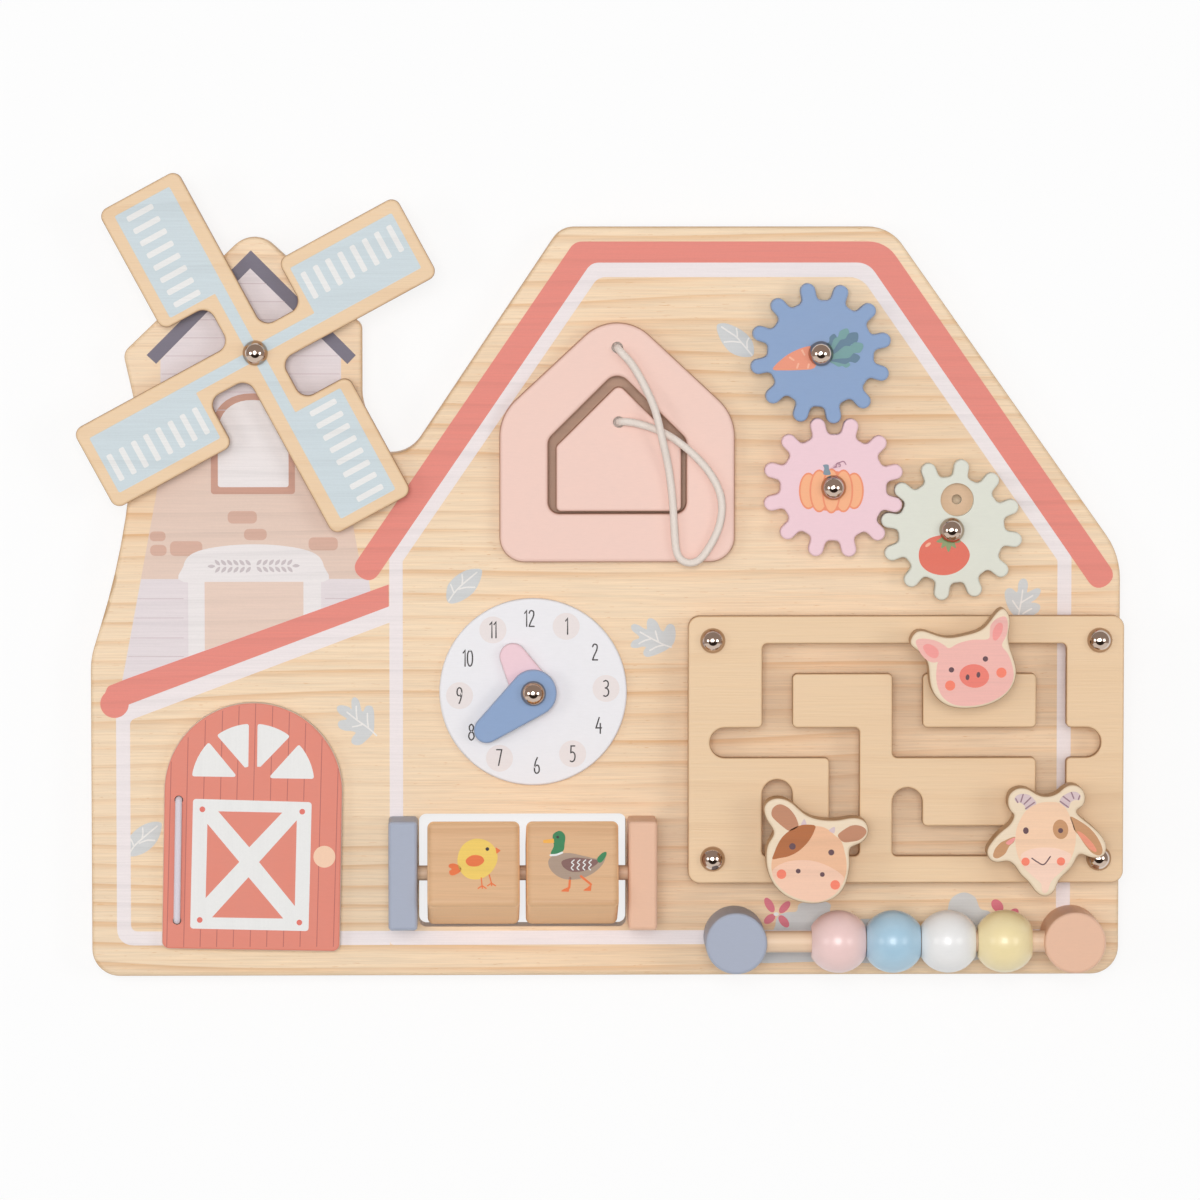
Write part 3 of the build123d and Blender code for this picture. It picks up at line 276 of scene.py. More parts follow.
@dataclass(frozen=True)
class Grain:
    """How a kind of wood is figured, shared by the bare wood and the inks printed on it."""

    ring_pitch: float
    ring_strength: float
    fibre_strength: float
    fleck_strength: float
    plank_width: float = 10.0
    turn: float = 0.0

    def read(self, graph: Graph) -> tuple[Wire, Wire, Wire]:
        """Reads the figure where the shader stands.

        Args:
            graph: The tree that gets the nodes.

        Returns:
            Late-wood lines, fine fibre around 0.5 and the tone of the plank around 0.5.
        """
        at = graph.place()
        if self.turn:
            angle = math.radians(self.turn)
            at = graph.node("ShaderNodeVectorRotate", {"rotation_type": "Z_AXIS"}, {"Vector": at, "Angle": angle})
        x, y, z = graph.split(at)
        plank = graph.node("ShaderNodeMath", {"operation": "FLOOR"}, {0: y / self.plank_width + PLANK_PHASE})
        tone = graph.node("ShaderNodeTexWhiteNoise", {"noise_dimensions": "1D"}, {"W": plank})
        shifted = graph.join(x + tone * 3.0, y + tone * 0.7, z)
        sway = graph.noise(graph.scaled(shifted, SWAY_SCALE), 1.0, 2.0)
        _, level, _ = graph.split(shifted)
        rings = level / self.ring_pitch + sway * SWAY_RINGS
        saw = graph.node("ShaderNodeMath", {"operation": "FRACT"}, {0: rings})
        late = graph.ramp(saw, *LATE_RISE) * graph.ramp(1.0 - saw, *LATE_FALL)
        patches = graph.ramp(graph.noise(graph.scaled(shifted, PATCH_SCALE), 1.0, 1.0), *PATCH_RANGE)
        fibre = graph.noise(graph.scaled(shifted, FIBRE_SCALE), 1.0, 3.0, 0.2)
        streaks = graph.ramp(graph.noise(graph.scaled(shifted, STREAK_SCALE), 1.0, 3.0, 0.15), *STREAK_RANGE)
        return late * (patches * PATCH_SHARE + (1.0 - PATCH_SHARE)) + streaks * STREAK_SHARE, fibre, tone


@dataclass(frozen=True)
class Timber(Finish):
    """Bare lacquered wood, with plies on its edges where it is a sheet."""

    pale: Shade
    late: Shade
    grain: Grain
    # Colour of the sides: sawn wood, except on the cubes, where it is painted light.
    edge: Shade = (205, 165, 120)
    ply_pitch: float = 0.0
    gloss: float = 0.46
    warmth: float = 0.1

    def dress(self, graph: Graph) -> None:
        """Late wood over pale wood, fibre and flecks on top, and the sides in the edge colour: darker sawn wood on
        most timbers, painted light on the cubes.
        """
        rings, fibre, tone = self.grain.read(graph)
        warm = graph.ramp(graph.noise(graph.scaled(graph.place(), WARM_SCALE), 1.0, 1.0), *WARM_RANGE)
        figure = rings * self.grain.ring_strength + warm * self.warmth
        colour = graph.mix(figure, linear(self.pale), linear(self.late))
        flecks = graph.ramp(graph.noise(graph.scaled(graph.place(), FLECK_SCALE), 1.0, 1.0), *FLECK_RANGE)
        colour = graph.mix(flecks * self.grain.fleck_strength, colour, linear(self.late))
        level = 1.0 + (fibre - 0.5) * self.grain.fibre_strength + (tone - 0.5) * PLANK_SWING
        colour = graph.tone(colour, level)
        side = 1.0 - graph.ramp(graph.upright(), *WOOD_SIDE)
        sawn_and_lit_side = graph.tone(linear(self.edge), SAWN_LEVEL + fibre * SAWN_SWING)
        if self.ply_pitch:
            _, _, z = graph.split(graph.place())
            ply = graph.node("ShaderNodeMath", {"operation": "PINGPONG"}, {0: z, 1: self.ply_pitch})
            sawn_and_lit_side = graph.tone(sawn_and_lit_side, PLY_DARK + PLY_LIFT * graph.ramp(ply / self.ply_pitch, *PLY_RANGE))
        colour = graph.mix(side, colour, sawn_and_lit_side)
        graph.finish(
            {
                "Base Color": colour,
                "Roughness": self.gloss + (fibre - 0.5) * WOOD_GLOSS_SWING,
                "Normal": graph.bump(fibre, *WOOD_BUMP),
            }
        )


@dataclass(frozen=True)
class Ink(Finish):
    """Thin printed colour that lets a little of the wood's figure through."""

    colour: Shade
    grain: Grain
    show: float = 1.0

    def dress(self, graph: Graph) -> None:
        """One colour, toned by the fibre and the late wood below it."""
        rings, fibre, _ = self.grain.read(graph)
        speckle = graph.noise(graph.place(), SPECKLE_SCALE, 1.0)
        level = 1.0 + (fibre - 0.5) * INK_FIBRE * self.show - rings * INK_RINGS * self.show
        level = level + (speckle - 0.5) * INK_SPECKLE
        graph.finish(
            {
                "Base Color": graph.tone(linear(self.colour), level),
                "Roughness": INK_GLOSS + (fibre - 0.5) * 0.2,
                "Normal": graph.bump(fibre, *INK_BUMP),
            }
        )


@dataclass(frozen=True)
class Paint(Finish):
    """Sprayed paint with a faint mottle, a little paler on worn edges."""

    colour: Shade
    gloss: float = 0.5
    coat: float = 0.0
    wear: float = 0.12
    pore: float = 0.5
    edge: Optional[Shade] = None

    def dress(self, graph: Graph) -> None:
        """Two scales of mottle in the colour and pores in the bump."""
        at = graph.place()
        mottle = graph.noise(at, MOTTLE_SCALE, 3.0)
        pores = graph.noise(graph.scaled(at, PORE_SCALE), 1.0, 2.0)
        size = graph.upright()
        rim = graph.ramp(size, *RIM_RISE) * (1.0 - graph.ramp(size, *RIM_FALL))
        colour = graph.tone(linear(self.colour), 1.0 + (mottle - 0.5) * 0.06 + (pores - 0.5) * 0.05)
        pale = graph.mix(0.5, linear(self.colour), WORN)
        colour = graph.mix(rim * mottle * self.wear * 2.0, colour, pale)
        if self.edge:
            bare = graph.tone(linear(self.edge), 0.85 + pores * 0.3)
            colour = graph.mix(1.0 - graph.ramp(size, *PAINT_SIDE), colour, bare)
        graph.finish(
            {
                "Base Color": colour,
                "Roughness": self.gloss + (mottle - 0.5) * 0.15,
                "Coat Weight": self.coat,
                "Coat Roughness": 0.15,
                "Normal": graph.bump(pores, 0.12 * self.pore, 0.0003),
            }
        )


@dataclass(frozen=True)
class Metal(Finish):
    """Plated steel with fine wear in its shine."""

    colour: Shade
    gloss: float
    # Colour of the sloping rim: on the domes it is a painted reflection of the wood around them.
    rim: Shade = (190, 190, 186)

    def dress(self, graph: Graph) -> None:
        """Full metal whose roughness wanders; its sloping rim takes the rim colour, which on the domes is a painted
        brown reflection of the wood around them.
        """
        smear = graph.noise(graph.place(), SMEAR_SCALE, 3.0)
        rim = 1.0 - graph.ramp(graph.upright(), *METAL_FLANK)
        shine = graph.mix(rim, linear(self.colour), linear(self.rim))
        graph.finish(
            {
                "Base Color": graph.tone(shine, 0.94 + smear * 0.12),
                "Metallic": 1.0,
                "Roughness": self.gloss + (smear - 0.5) * 0.1,
            }
        )


@dataclass(frozen=True)
class Yarn(Finish):
    """Cotton or covered elastic, fuzzy and a little uneven."""

    colour: Shade
    strand: float

    def dress(self, graph: Graph) -> None:
        """Fine strands at the pitch of the braid."""
        at = graph.place()
        twist = graph.noise(at, 1.0 / self.strand, 2.0, 0.6)
        fuzz = graph.noise(at, FUZZ_SCALE, 2.0)
        graph.finish(
            {
                "Base Color": graph.tone(linear(self.colour), 0.9 + twist * 0.14 + fuzz * 0.06),
                "Roughness": 0.85,
                "Sheen Weight": 0.25,
                "Normal": graph.bump(twist * 0.7 + fuzz * 0.3, 0.5, 0.0003),
            }
        )


PINE_GRAIN = Grain(0.0085, 0.58, 0.4, 0.55, plank_width=0.068)
SHEET_GRAIN = Grain(0.016, 0.30, 0.12, 0.10)
DOOR_GRAIN = Grain(0.012, 0.30, 0.10, 0.05, turn=90.0)
CUBE_GRAIN = Grain(0.010, 0.5, 0.2, 0.12)
DOWEL_GRAIN = Grain(0.006, 0.4, 0.14, 0.05)

PINE = Timber("pine", (239, 212, 178), (214, 160, 102), PINE_GRAIN, edge=(214, 172, 124), warmth=0.2)
PLYWOOD = Timber("plywood", (233, 201, 162), (216, 176, 132), SHEET_GRAIN, edge=(182, 134, 90), ply_pitch=0.0012)
HEAD_WOOD = Timber("head_wood", (235, 214, 186), (226, 200, 166), SHEET_GRAIN, edge=(192, 148, 104), ply_pitch=0.0014)
# The cubes' side colour is painted light: it lifts the faces that turn down and sideways, which lie in shade, to
# match the top.
CUBE_WOOD = Timber("cube_wood", (221, 178, 136), (200, 150, 106), CUBE_GRAIN, edge=(252, 202, 150), gloss=0.5)
DOWEL_WOOD = Timber("dowel_wood", (236, 206, 176), (220, 182, 146), DOWEL_GRAIN, edge=(224, 190, 158))
BLOCK_WOOD = Timber("block_wood", (222, 190, 150), (200, 160, 118), Grain(0.010, 0.5, 0.14, 0.05))

RED_PAINT = Paint("barn_red_paint", (224, 130, 110), edge=(226, 212, 196))
WHITE_PAINT = Paint("dial_white_paint", (233, 231, 234), gloss=0.45, wear=0.05)
BLUE_PAINT = Paint("cornflower_paint", (132, 158, 197), wear=0.25)
PINK_PAINT = Paint("pink_paint", (238, 202, 210), wear=0.2)
SAGE_PAINT = Paint("sage_paint", (220, 221, 208), wear=0.2)
BLUSH_PAINT = Paint("blush_paint", (240, 203, 190), wear=0.1, edge=(190, 142, 118))
POST_BLUE = Paint("post_blue_paint", (164, 171, 189), wear=0.15)
POST_PEACH = Paint("post_peach_paint", (230, 184, 155), wear=0.15)
BEAD_GLOSS = {"gloss": 0.36, "coat": 0.4, "pore": 0.2}
BEAD_ROSE = Paint("bead_rose_gloss", (244, 209, 205), **BEAD_GLOSS)
BEAD_SKY = Paint("bead_sky_gloss", (171, 206, 227), **BEAD_GLOSS)
BEAD_WHITE = Paint("bead_white_gloss", (241, 240, 239), **BEAD_GLOSS)
BEAD_YELLOW = Paint("bead_yellow_gloss", (246, 227, 174), **BEAD_GLOSS)
WASHER = Paint("washer_nylon", (225, 224, 220), gloss=0.4)
# Its brown rim colour is a painted reflection of the wood that the dome's sloping rim would mirror.
DOME = Metal("polished_dome", (222, 208, 198), 0.07, rim=(178, 156, 140))
ZINC = Metal("zinc_screw", (190, 190, 186), 0.34)
COTTON = Yarn("cotton_cord", (236, 224, 214), 0.0010)
ELASTIC = Yarn("covered_elastic", (222, 214, 222), 0.0007)


# ---------------------------------------------------------------- flat shapes, in millimetres


STRAIGHT = 3.1  # from this angle on, in radians, a corner is taken as straight
CORNER_SHARE = 0.49  # how much of a side one rounded corner may take
CAP_STEPS = 6
SAME_PLACE = 1e-4


def rounded(corners: Sequence[tuple], steps: int = 6) -> Loop:
    """Closed outline through corners, each given as (x, y) or (x, y, radius).

    Args:
        corners: The corners in order.
        steps: Pieces that each rounded corner is drawn with.

    Returns:
        The outline's points.
    """
    points: Loop = []
    count = len(corners)
    for i, corner in enumerate(corners):
        here = Vector(corner[:2])
        radius = corner[2] if len(corner) > 2 else 0.0
        before, after = Vector(corners[i - 1][:2]) - here, Vector(corners[(i + 1) % count][:2]) - here
        opening = before.angle(after)
        if radius <= 0 or opening > STRAIGHT:
            points.append(tuple(here))
            continue
        reach = min(radius / math.tan(opening / 2), before.length * CORNER_SHARE, after.length * CORNER_SHARE)
        start, end = here + before.normalized() * reach, here + after.normalized() * reach
        for k in range(steps + 1):
            t = k / steps
            weight = 0.75 + 0.25 * opening / math.pi
            top = start * (1 - t) ** 2 + here * 2 * weight * t * (1 - t) + end * t ** 2
            points.append(tuple(top / ((1 - t) ** 2 + 2 * weight * t * (1 - t) + t ** 2)))
    return points


def curve_through(points: Sequence[Point], closed: bool = True, steps: int = 5) -> Loop:
    """Smooth line through every point.

    Args:
        points: Points on the line.
        closed: Whether the last point joins the first.
        steps: Pieces between two points.

    Returns:
        The line's points.
    """
    count = len(points)
    spans = count if closed else count - 1
    line: Loop = []
    for i in range(spans):
        near = [(i + k) % count if closed else min(max(i + k, 0), count - 1) for k in (-1, 0, 1, 2)]
        a, b, c, d = (Vector(points[k]) for k in near)
        for k in range(steps):
            t = k / steps
            bend = (2 * a - 5 * b + 4 * c - d) * t * t
            line.append(tuple(0.5 * (2 * b + (c - a) * t + bend + (3 * b - a - 3 * c + d) * t ** 3)))
    if not closed:
        line.append(tuple(points[-1]))
    return line


def oval(centre: Point, across: float, up: Optional[float] = None, turn: float = 0.0, steps: int = 28) -> Loop:
    """Circle or ellipse from its half sizes, turned by some degrees."""
    up = across if up is None else up
    c, s = math.cos(math.radians(turn)), math.sin(math.radians(turn))
    round_trip = [(across * math.cos(a), up * math.sin(a)) for a in (2 * math.pi * k / steps for k in range(steps))]
    return [(centre[0] + x * c - y * s, centre[1] + x * s + y * c) for x, y in round_trip]


def box(centre: Point, across: float, up: float, radius: float) -> Loop:
    """Upright rectangle with rounded corners."""
    (x, y), a, b = centre, across / 2, up / 2
    return rounded([(x - a, y - b, radius), (x + a, y - b, radius), (x + a, y + b, radius), (x - a, y + b, radius)])


def stroke(line: Sequence[Point], width: float, soft: bool = True) -> Loop:
    """Outline of a pen line with round ends.

    Args:
        line: Points that the pen passes.
        width: The pen's width.
        soft: Whether the line bends smoothly between its points.

    Returns:
        The outline's points.
    """
    path = [Vector(p) for p in (curve_through(line, False, 4) if soft and len(line) > 2 else line)]
    path = [p for i, p in enumerate(path) if i == 0 or (p - path[i - 1]).length > SAME_PLACE]
    half = width / 2
    sides: tuple[Loop, Loop] = ([], [])
    for i, here in enumerate(path):
        ahead = (path[min(i + 1, len(path) - 1)] - here).normalized() if i < len(path) - 1 else Vector((0, 0))
        behind = (here - path[i - 1]).normalized() if i else Vector((0, 0))
        way = (ahead + behind).normalized()
        out = Vector((-way.y, way.x)) * half / max(way.dot(ahead if i < len(path) - 1 else behind), 0.5)
        sides[0].append(tuple(here + out))
        sides[1].append(tuple(here - out))

    def cap(end: Vector, way: Vector) -> Loop:
        """Half circle that closes the line at one end."""
        start = math.atan2(way.x, -way.y)
        angles = [start - math.pi * k / CAP_STEPS for k in range(1, CAP_STEPS)]
        return [(end.x + half * math.cos(a), end.y + half * math.sin(a)) for a in angles]

    last = cap(path[-1], (path[-1] - path[-2]).normalized())
    first = cap(path[0], (path[0] - path[1]).normalized())
    return sides[0] + last + sides[1][::-1] + first


def moved(loop: Loop, by: Point, turn: float = 0.0, grow: float = 1.0) -> Loop:
    """A loop turned about the origin, grown and then moved."""
    c, s = math.cos(math.radians(turn)) * grow, math.sin(math.radians(turn)) * grow
    return [(by[0] + x * c - y * s, by[1] + x * s + y * c) for x, y in loop]


def area(loop: Loop) -> float:
    """Signed area, above zero where the loop runs counter-clockwise."""
    return 0.5 * sum(a[0] * b[1] - b[0] * a[1] for a, b in zip(loop, loop[1:] + loop[:1]))


# ---------------------------------------------------------------- pieces


class Tone(Enum):
    """Printing inks, as screen colours."""

    BARN_RED = (229, 132, 118)
    BAND_WHITE = (237, 227, 227)
    SLATE = (112, 106, 122)
    LILAC = (226, 215, 217)
    PLANK_LINE = (206, 188, 192)
    TOWER = (225, 198, 182)
    BRICK = (212, 170, 151)
    WINDOW_BROWN = (200, 150, 130)
    WALL_WHITE = (234, 227, 226)
    INNER_DOOR = (229, 202, 186)
    LAUREL = (200, 188, 190)
    LEAF = (206, 207, 207)
    VEIN = (232, 228, 224)
    PETAL = (216, 112, 128)
    SAIL_BLUE = (202, 214, 219)
    PANE = (233, 232, 230)
    DOOR_LINE = (188, 104, 92)
    DOOR_DOT = (226, 112, 98)
    KNOB = (244, 203, 172)
    DIAL_BLUSH = (232, 222, 220)
    NUMERAL = (52, 46, 48)
    CARROT = (234, 146, 116)
    CARROT_LINE = (243, 178, 148)
    FROND = (112, 156, 156)
    FROND_DARK = (92, 124, 146)
    PUMPKIN = (246, 176, 130)
    PUMPKIN_DARK = (238, 142, 102)
    STEM = (124, 144, 158)
    TENDRIL = (170, 120, 140)
    TOMATO = (226, 108, 86)
    CALYX = (138, 154, 104)
    CHICK = (240, 203, 98)
    CHICK_ORANGE = (233, 116, 60)
    INK_BLACK = (58, 48, 52)
    DRAKE_GREEN = (52, 132, 84)
    BILL = (244, 178, 76)
    DRAKE_BODY = (172, 148, 130)
    DRAKE_WING = (132, 96, 90)
    PIG_SKIN = (239, 180, 170)
    PIG_EAR = (241, 152, 146)
    PIG_SNOUT = (236, 122, 106)
    CHEEK = (246, 126, 98)
    FACE_DARK = (96, 62, 70)
    COW_FACE = (236, 184, 146)
    COW_PATCH = (176, 99, 42)
    COW_EAR = (190, 130, 96)
    MUZZLE = (243, 198, 171)
    HORN = (214, 190, 192)
    GOAT_FACE = (243, 202, 168)
    GOAT_MUZZLE = (246, 208, 186)
    GOAT_PATCH = (198, 144, 98)
    HORN_LINE = (152, 118, 128)
    BARE_WOOD = (214, 180, 146)
    # Painted shade for the board in the gap between the house frame and its insert.
    GROOVE = (186, 150, 126)


LAYER = 0.03  # height of one printed layer, in millimetres
NUDGE, NUDGES = 0.003, 8  # small steps that keep overlapping shapes of one layer apart
ROOT = -0.02  # where a print starts, just below its face


@dataclass
class PrintSheet:
    """Artwork printed on one flat face of one body, in the face's own millimetres."""

    name: str
    body: str
    grain: Grain
    plane: Matrix = field(default_factory=lambda: face_at(FACE_Z))
    show: float = 1.0
    shapes: dict[Tone, list[tuple[list[Loop], int]]] = field(default_factory=dict)

    def put(self, tone: Tone, outline: Loop, *holes: Loop, level: int = 0) -> None:
        """Adds a shape.

        Args:
            tone: Its ink.
            outline: Its outer edge.
            holes: Edges of what is left open in it.
            level: How many inks lie below it.
        """
        self.shapes.setdefault(tone, []).append(([outline, *holes], level))

    def blob(self, tone: Tone, points: Sequence[Point], level: int = 0, steps: int = 5) -> None:
        """Adds a smooth shape whose edge passes the points."""
        self.put(tone, curve_through(points, steps=steps), level=level)

    def lines(self, tone: Tone, width: float, lines: Sequence[Loop], level: int = 0) -> None:
        """Adds pen lines of one width."""
        for line in lines:
            self.put(tone, stroke(line, width), level=level)

    def dots(
        self, tone: Tone, centres: Sequence[Point], across: float, up: Optional[float] = None, turn: float = 0.0,
        steps: int = 28, level: int = 0
    ) -> None:
        """Adds equal ovals from their half sizes."""
        for centre in centres:
            self.put(tone, oval(centre, across, up, turn, steps), level=level)

    def build(self) -> None:
        """Makes one thin closed mesh for each ink and lets it ride on the body."""
        for tone, shapes in self.shapes.items():
            verts: list[Vector] = []
            faces: list[tuple[int, ...]] = []
            for k, (loops, level) in enumerate(shapes):
                self._prism(loops, LAYER + LAYER * level + NUDGE * (k % NUDGES), verts, faces)
            name = f"{self.name}_{tone.name.lower()}"
            mesh = bpy.data.meshes.new(name)
            mesh.from_pydata([self.plane @ v for v in verts], [], faces)
            label = f"{tone.name.lower()}_ink_{self.grain.ring_pitch * 1000:g}_{self.show * 100:g}"
            mesh.materials.append(Ink(label, tone.value, self.grain, self.show).material())
            mesh.validate()
            piece = added(name, mesh)
            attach(piece, self.body)
        log.info("%s: %d inks", self.name, len(self.shapes))

    @staticmethod
    def _prism(loops: list[Loop], top: float, verts: list[Vector], faces: list[tuple[int, ...]]) -> None:
        """Adds a closed slab with these edges, from just below the face up to top."""
        runs = [loop if (area(loop) > 0) == (i == 0) else loop[::-1] for i, loop in enumerate(loops)]
        flat = [p for run in runs for p in run]
        base, count = len(verts), len(flat)
        for z in (top, ROOT):
            verts.extend(Vector((x, y, z)) for x, y in flat)
        for a, b, c in tessellate_polygon([[Vector((x, y, 0.0)) for x, y in run] for run in runs]):
            if area([flat[a], flat[b], flat[c]]) < 0:
                b, c = c, b
            faces.append((base + a, base + b, base + c))
            faces.append((base + count + a, base + count + c, base + count + b))
        start = 0
        for run in runs:
            for i in range(len(run)):
                a, b = base + start + i, base + start + (i + 1) % len(run)
                faces.append((a, a + count, b + count, b))
            start += len(run)


def face_at(z: float) -> Matrix:
    """Places a sheet flat at a height, in millimetres."""
    return Matrix.Translation((0.0, 0.0, z * MM)) @ Matrix.Scale(MM, 4)


def added(name: str, data: bpy.types.ID) -> bpy.types.Object:
    """A new object with this data, linked into the scene."""
    made = bpy.data.objects.new(name, data)
    bpy.context.collection.objects.link(made)
    return made


def dress_nodes(finishes: dict[str, Finish]) -> None:
    """Gives CAD nodes their finishes.

    Args:
        finishes: Node name to finish.
    """
    for name, finish in finishes.items():
        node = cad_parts[name]
        if not node.material_slots:
            node.data.materials.append(None)
        for held in node.material_slots:
            held.material = finish.material()
    log.info("dressed %s", ", ".join(finishes))


def laid_line(name: str, route: Sequence[Sequence[float]]) -> list[Vector]:
    """Reads the smooth line of a route.

    Args:
        name: Name of the curve.
        route: The route's control points, in metres.

    Returns:
        Points along the NURBS line.
    """
    data = bpy.data.curves.new(name, "CURVE")
    data.dimensions = "3D"
    data.resolution_u = 10
    spline = data.splines.new("NURBS")
    spline.points.add(len(route) - 1)
    for knot, place in zip(spline.points, route):
        knot.co = (*place, 1.0)
    spline.order_u = 3
    spline.use_endpoint_u = True
    holder = added(name, data)
    bpy.context.view_layer.update()
    read = bpy.data.meshes.new_from_object(holder)
    line = [v.co.copy() for v in read.vertices]
    bpy.data.objects.remove(holder)
    bpy.data.meshes.remove(read)
    return line


@dataclass(frozen=True)
class Lay:
    """How the strands of a cord lie round its line, in metres."""

    radius: float
    strands: int
    relief: float
    pitch: float
    sides: int = 24

    def tube(self, name: str, line: Sequence[Vector], finish: Finish) -> bpy.types.Object:
        """Makes a cord whose strands wind round a line.

        Args:
            name: The piece's name.
            line: Points that it follows.
            finish: Its finish.

        Returns:
            The cord as a closed mesh.
        """
        cuts = 4
        fine = [a.lerp(b, k / cuts) for a, b in zip(line, line[1:]) for k in range(cuts)] + [line[-1]]
        verts: list[Vector] = []
        faces: list[tuple[int, ...]] = []
        side = Vector((1.0, 0.0, 0.0))
        gone = 0.0
        for i, here in enumerate(fine):
            way = (fine[min(i + 1, len(fine) - 1)] - fine[max(i - 1, 0)]).normalized()
            side = (side - way * side.dot(way)).normalized()
            over = way.cross(side)
            gone += (here - fine[i - 1]).length if i else 0.0
            for k in range(self.sides):
                turn = 2 * math.pi * k / self.sides
                wave = math.cos(self.strands * (turn - 2 * math.pi * gone / self.pitch))
                cross = math.cos(self.strands * (turn + 2 * math.pi * gone / self.pitch))
                reach = self.radius - self.relief * (1 - max(wave, cross)) / 2
                verts.append(here + (side * math.cos(turn) + over * math.sin(turn)) * reach)
        for i in range(len(fine) - 1):
            for k in range(self.sides):
                a, b = i * self.sides + k, i * self.sides + (k + 1) % self.sides
                faces.append((a, b, b + self.sides, a + self.sides))
        faces.append(tuple(range(self.sides))[::-1])
        faces.append(tuple(len(verts) - self.sides + k for k in range(self.sides)))
        mesh = bpy.data.meshes.new(name)
        mesh.from_pydata(verts, [], faces)
        mesh.materials.append(finish.material())
        mesh.polygons.foreach_set("use_smooth", [True] * len(mesh.polygons))
        return added(name, mesh)


# ---------------------------------------------------------------- sub-assemblies


FAINT = 0.3  # how much of the wood shows through the print of door, dial and wheels


@dataclass
class MainBoard:
    """The pine board with its printed roof, frames, leaves and flowers."""

    vein: float = 0.62
    name: str = "main_board"

    def build(self) -> None:
        """Dresses the board and prints it."""
        dress_nodes({"main_board": PINE, "hinge_cord_anchors": ELASTIC})
        sheet = PrintSheet("board_print", "board", PINE_GRAIN)
        self._bands(sheet)
        self._leaves(sheet)
        self._flowers(sheet)
        sheet.build()

    def _bands(self, sheet: PrintSheet) -> None:
        """Red roofs with the pale band inside them."""
        sheet.put(Tone.BARN_RED, rounded([
            (-102.2, 13.12, 5.08), (-12.52, 144.24, 5.6), (111.6, 144.24, 13.6), (204.88, 9.72, 5.2),
            (196.28, 3.76, 5.2), (104.64, 135.84, 8.8), (-5.88, 135.84, 5.6), (-93.8, 7.28, 5.08)]), level=5)
        sheet.put(Tone.BARN_RED, rounded([
            (-86.88, 7.32), (-86.88, -1.48), (-190.8, -40.56, 1.2), (-194.4, -44.16, 1.6), (-201.6, -38.96, 2),
            (-199.2, -33.36, 2.4), (-191.2, -30.16)]), level=5)
        sheet.put(Tone.BARN_RED, oval((-196.56, -40.32), 5.7), level=6)
        sheet.put(Tone.BAND_WHITE,
            rounded([
                (-86.64, -137.56, 1.6), (-86.64, 18.08, 1.6), (-5.88, 135.84, 5.6), (104.64, 135.84, 8.8),
                (186.4, 18.24, 3.2), (186.4, -137.56, 4)]),
            rounded([
                (-81.28, -131.92, 0.8), (-81.28, 16.64, 1.6), (-3.2, 130.04, 5.6), (101.8, 130.04, 9.6),
                (180.8, 16.64, 2.4), (180.8, -131.92, 1.6)]), level=4)
        sheet.put(Tone.BAND_WHITE, rounded([
            (-86.64, -1.36), (-196, -42.56, 4.8), (-196, -137.56, 6.8), (-86.64, -137.56), (-86.64, -131.92),
            (-190.4, -131.92, 2.8), (-190.4, -46.96, 2.8), (-86.64, -7.96)]), level=4)

    def _leaves(self, sheet: PrintSheet) -> None:
        """Three pointed and three lobed leaves with their veins."""
        for steps, outline, veins in LEAVES:
            sheet.blob(Tone.LEAF, outline, 1, steps)
            sheet.lines(Tone.VEIN, self.vein, veins, level=2)

    def _flowers(self, sheet: PrintSheet) -> None:
        """Two shrubs and two flowers behind the bead rail."""
        sheet.blob(Tone.LEAF, [
            (67.37, -131.65), (68.76, -126.78), (72.24, -124.83), (76.41, -124.49), (77.25, -121.91), (79.19, -120.8),
            (84.06, -119.83), (89.97, -121.36), (90.11, -124.69), (94.49, -127.48), (111.18, -128.17),
            (115.35, -135.82), (111.18, -144.72), (83.37, -144.79), (59.03, -144.86), (57.64, -138.6),
            (62.51, -135.82)], level=1, steps=4)
        sheet.blob(Tone.LEAF, [
            (137.42, -123.19), (139.16, -119.01), (143.68, -116.93), (148.19, -118.87), (150.42, -123.53),
            (154.45, -125.06), (159.32, -132.23), (156.54, -140.57), (148.19, -144.39), (138.46, -144.05),
            (137.07, -132.23)], level=1)
        for x, y, across, up, turn in (
            (65.64, -121.84, 3.3, 1.6, -60.0), (71.75, -122.75, 3.0, 1.5, 48.0), (65.71, -127.48, 2.6, 1.6, 38.0),
            (71.41, -128.45, 2.9, 1.6, -52.0), (157.23, -122.35, 2.9, 2.1, -50.0), (163.49, -125.62, 2.7, 1.7, 40.0),
        ):
            sheet.put(Tone.PETAL, oval((x, y), across, up, turn), level=2)
        sheet.put(Tone.PANE, oval((68.35, -125.53), 1.05, 0.75), level=3)


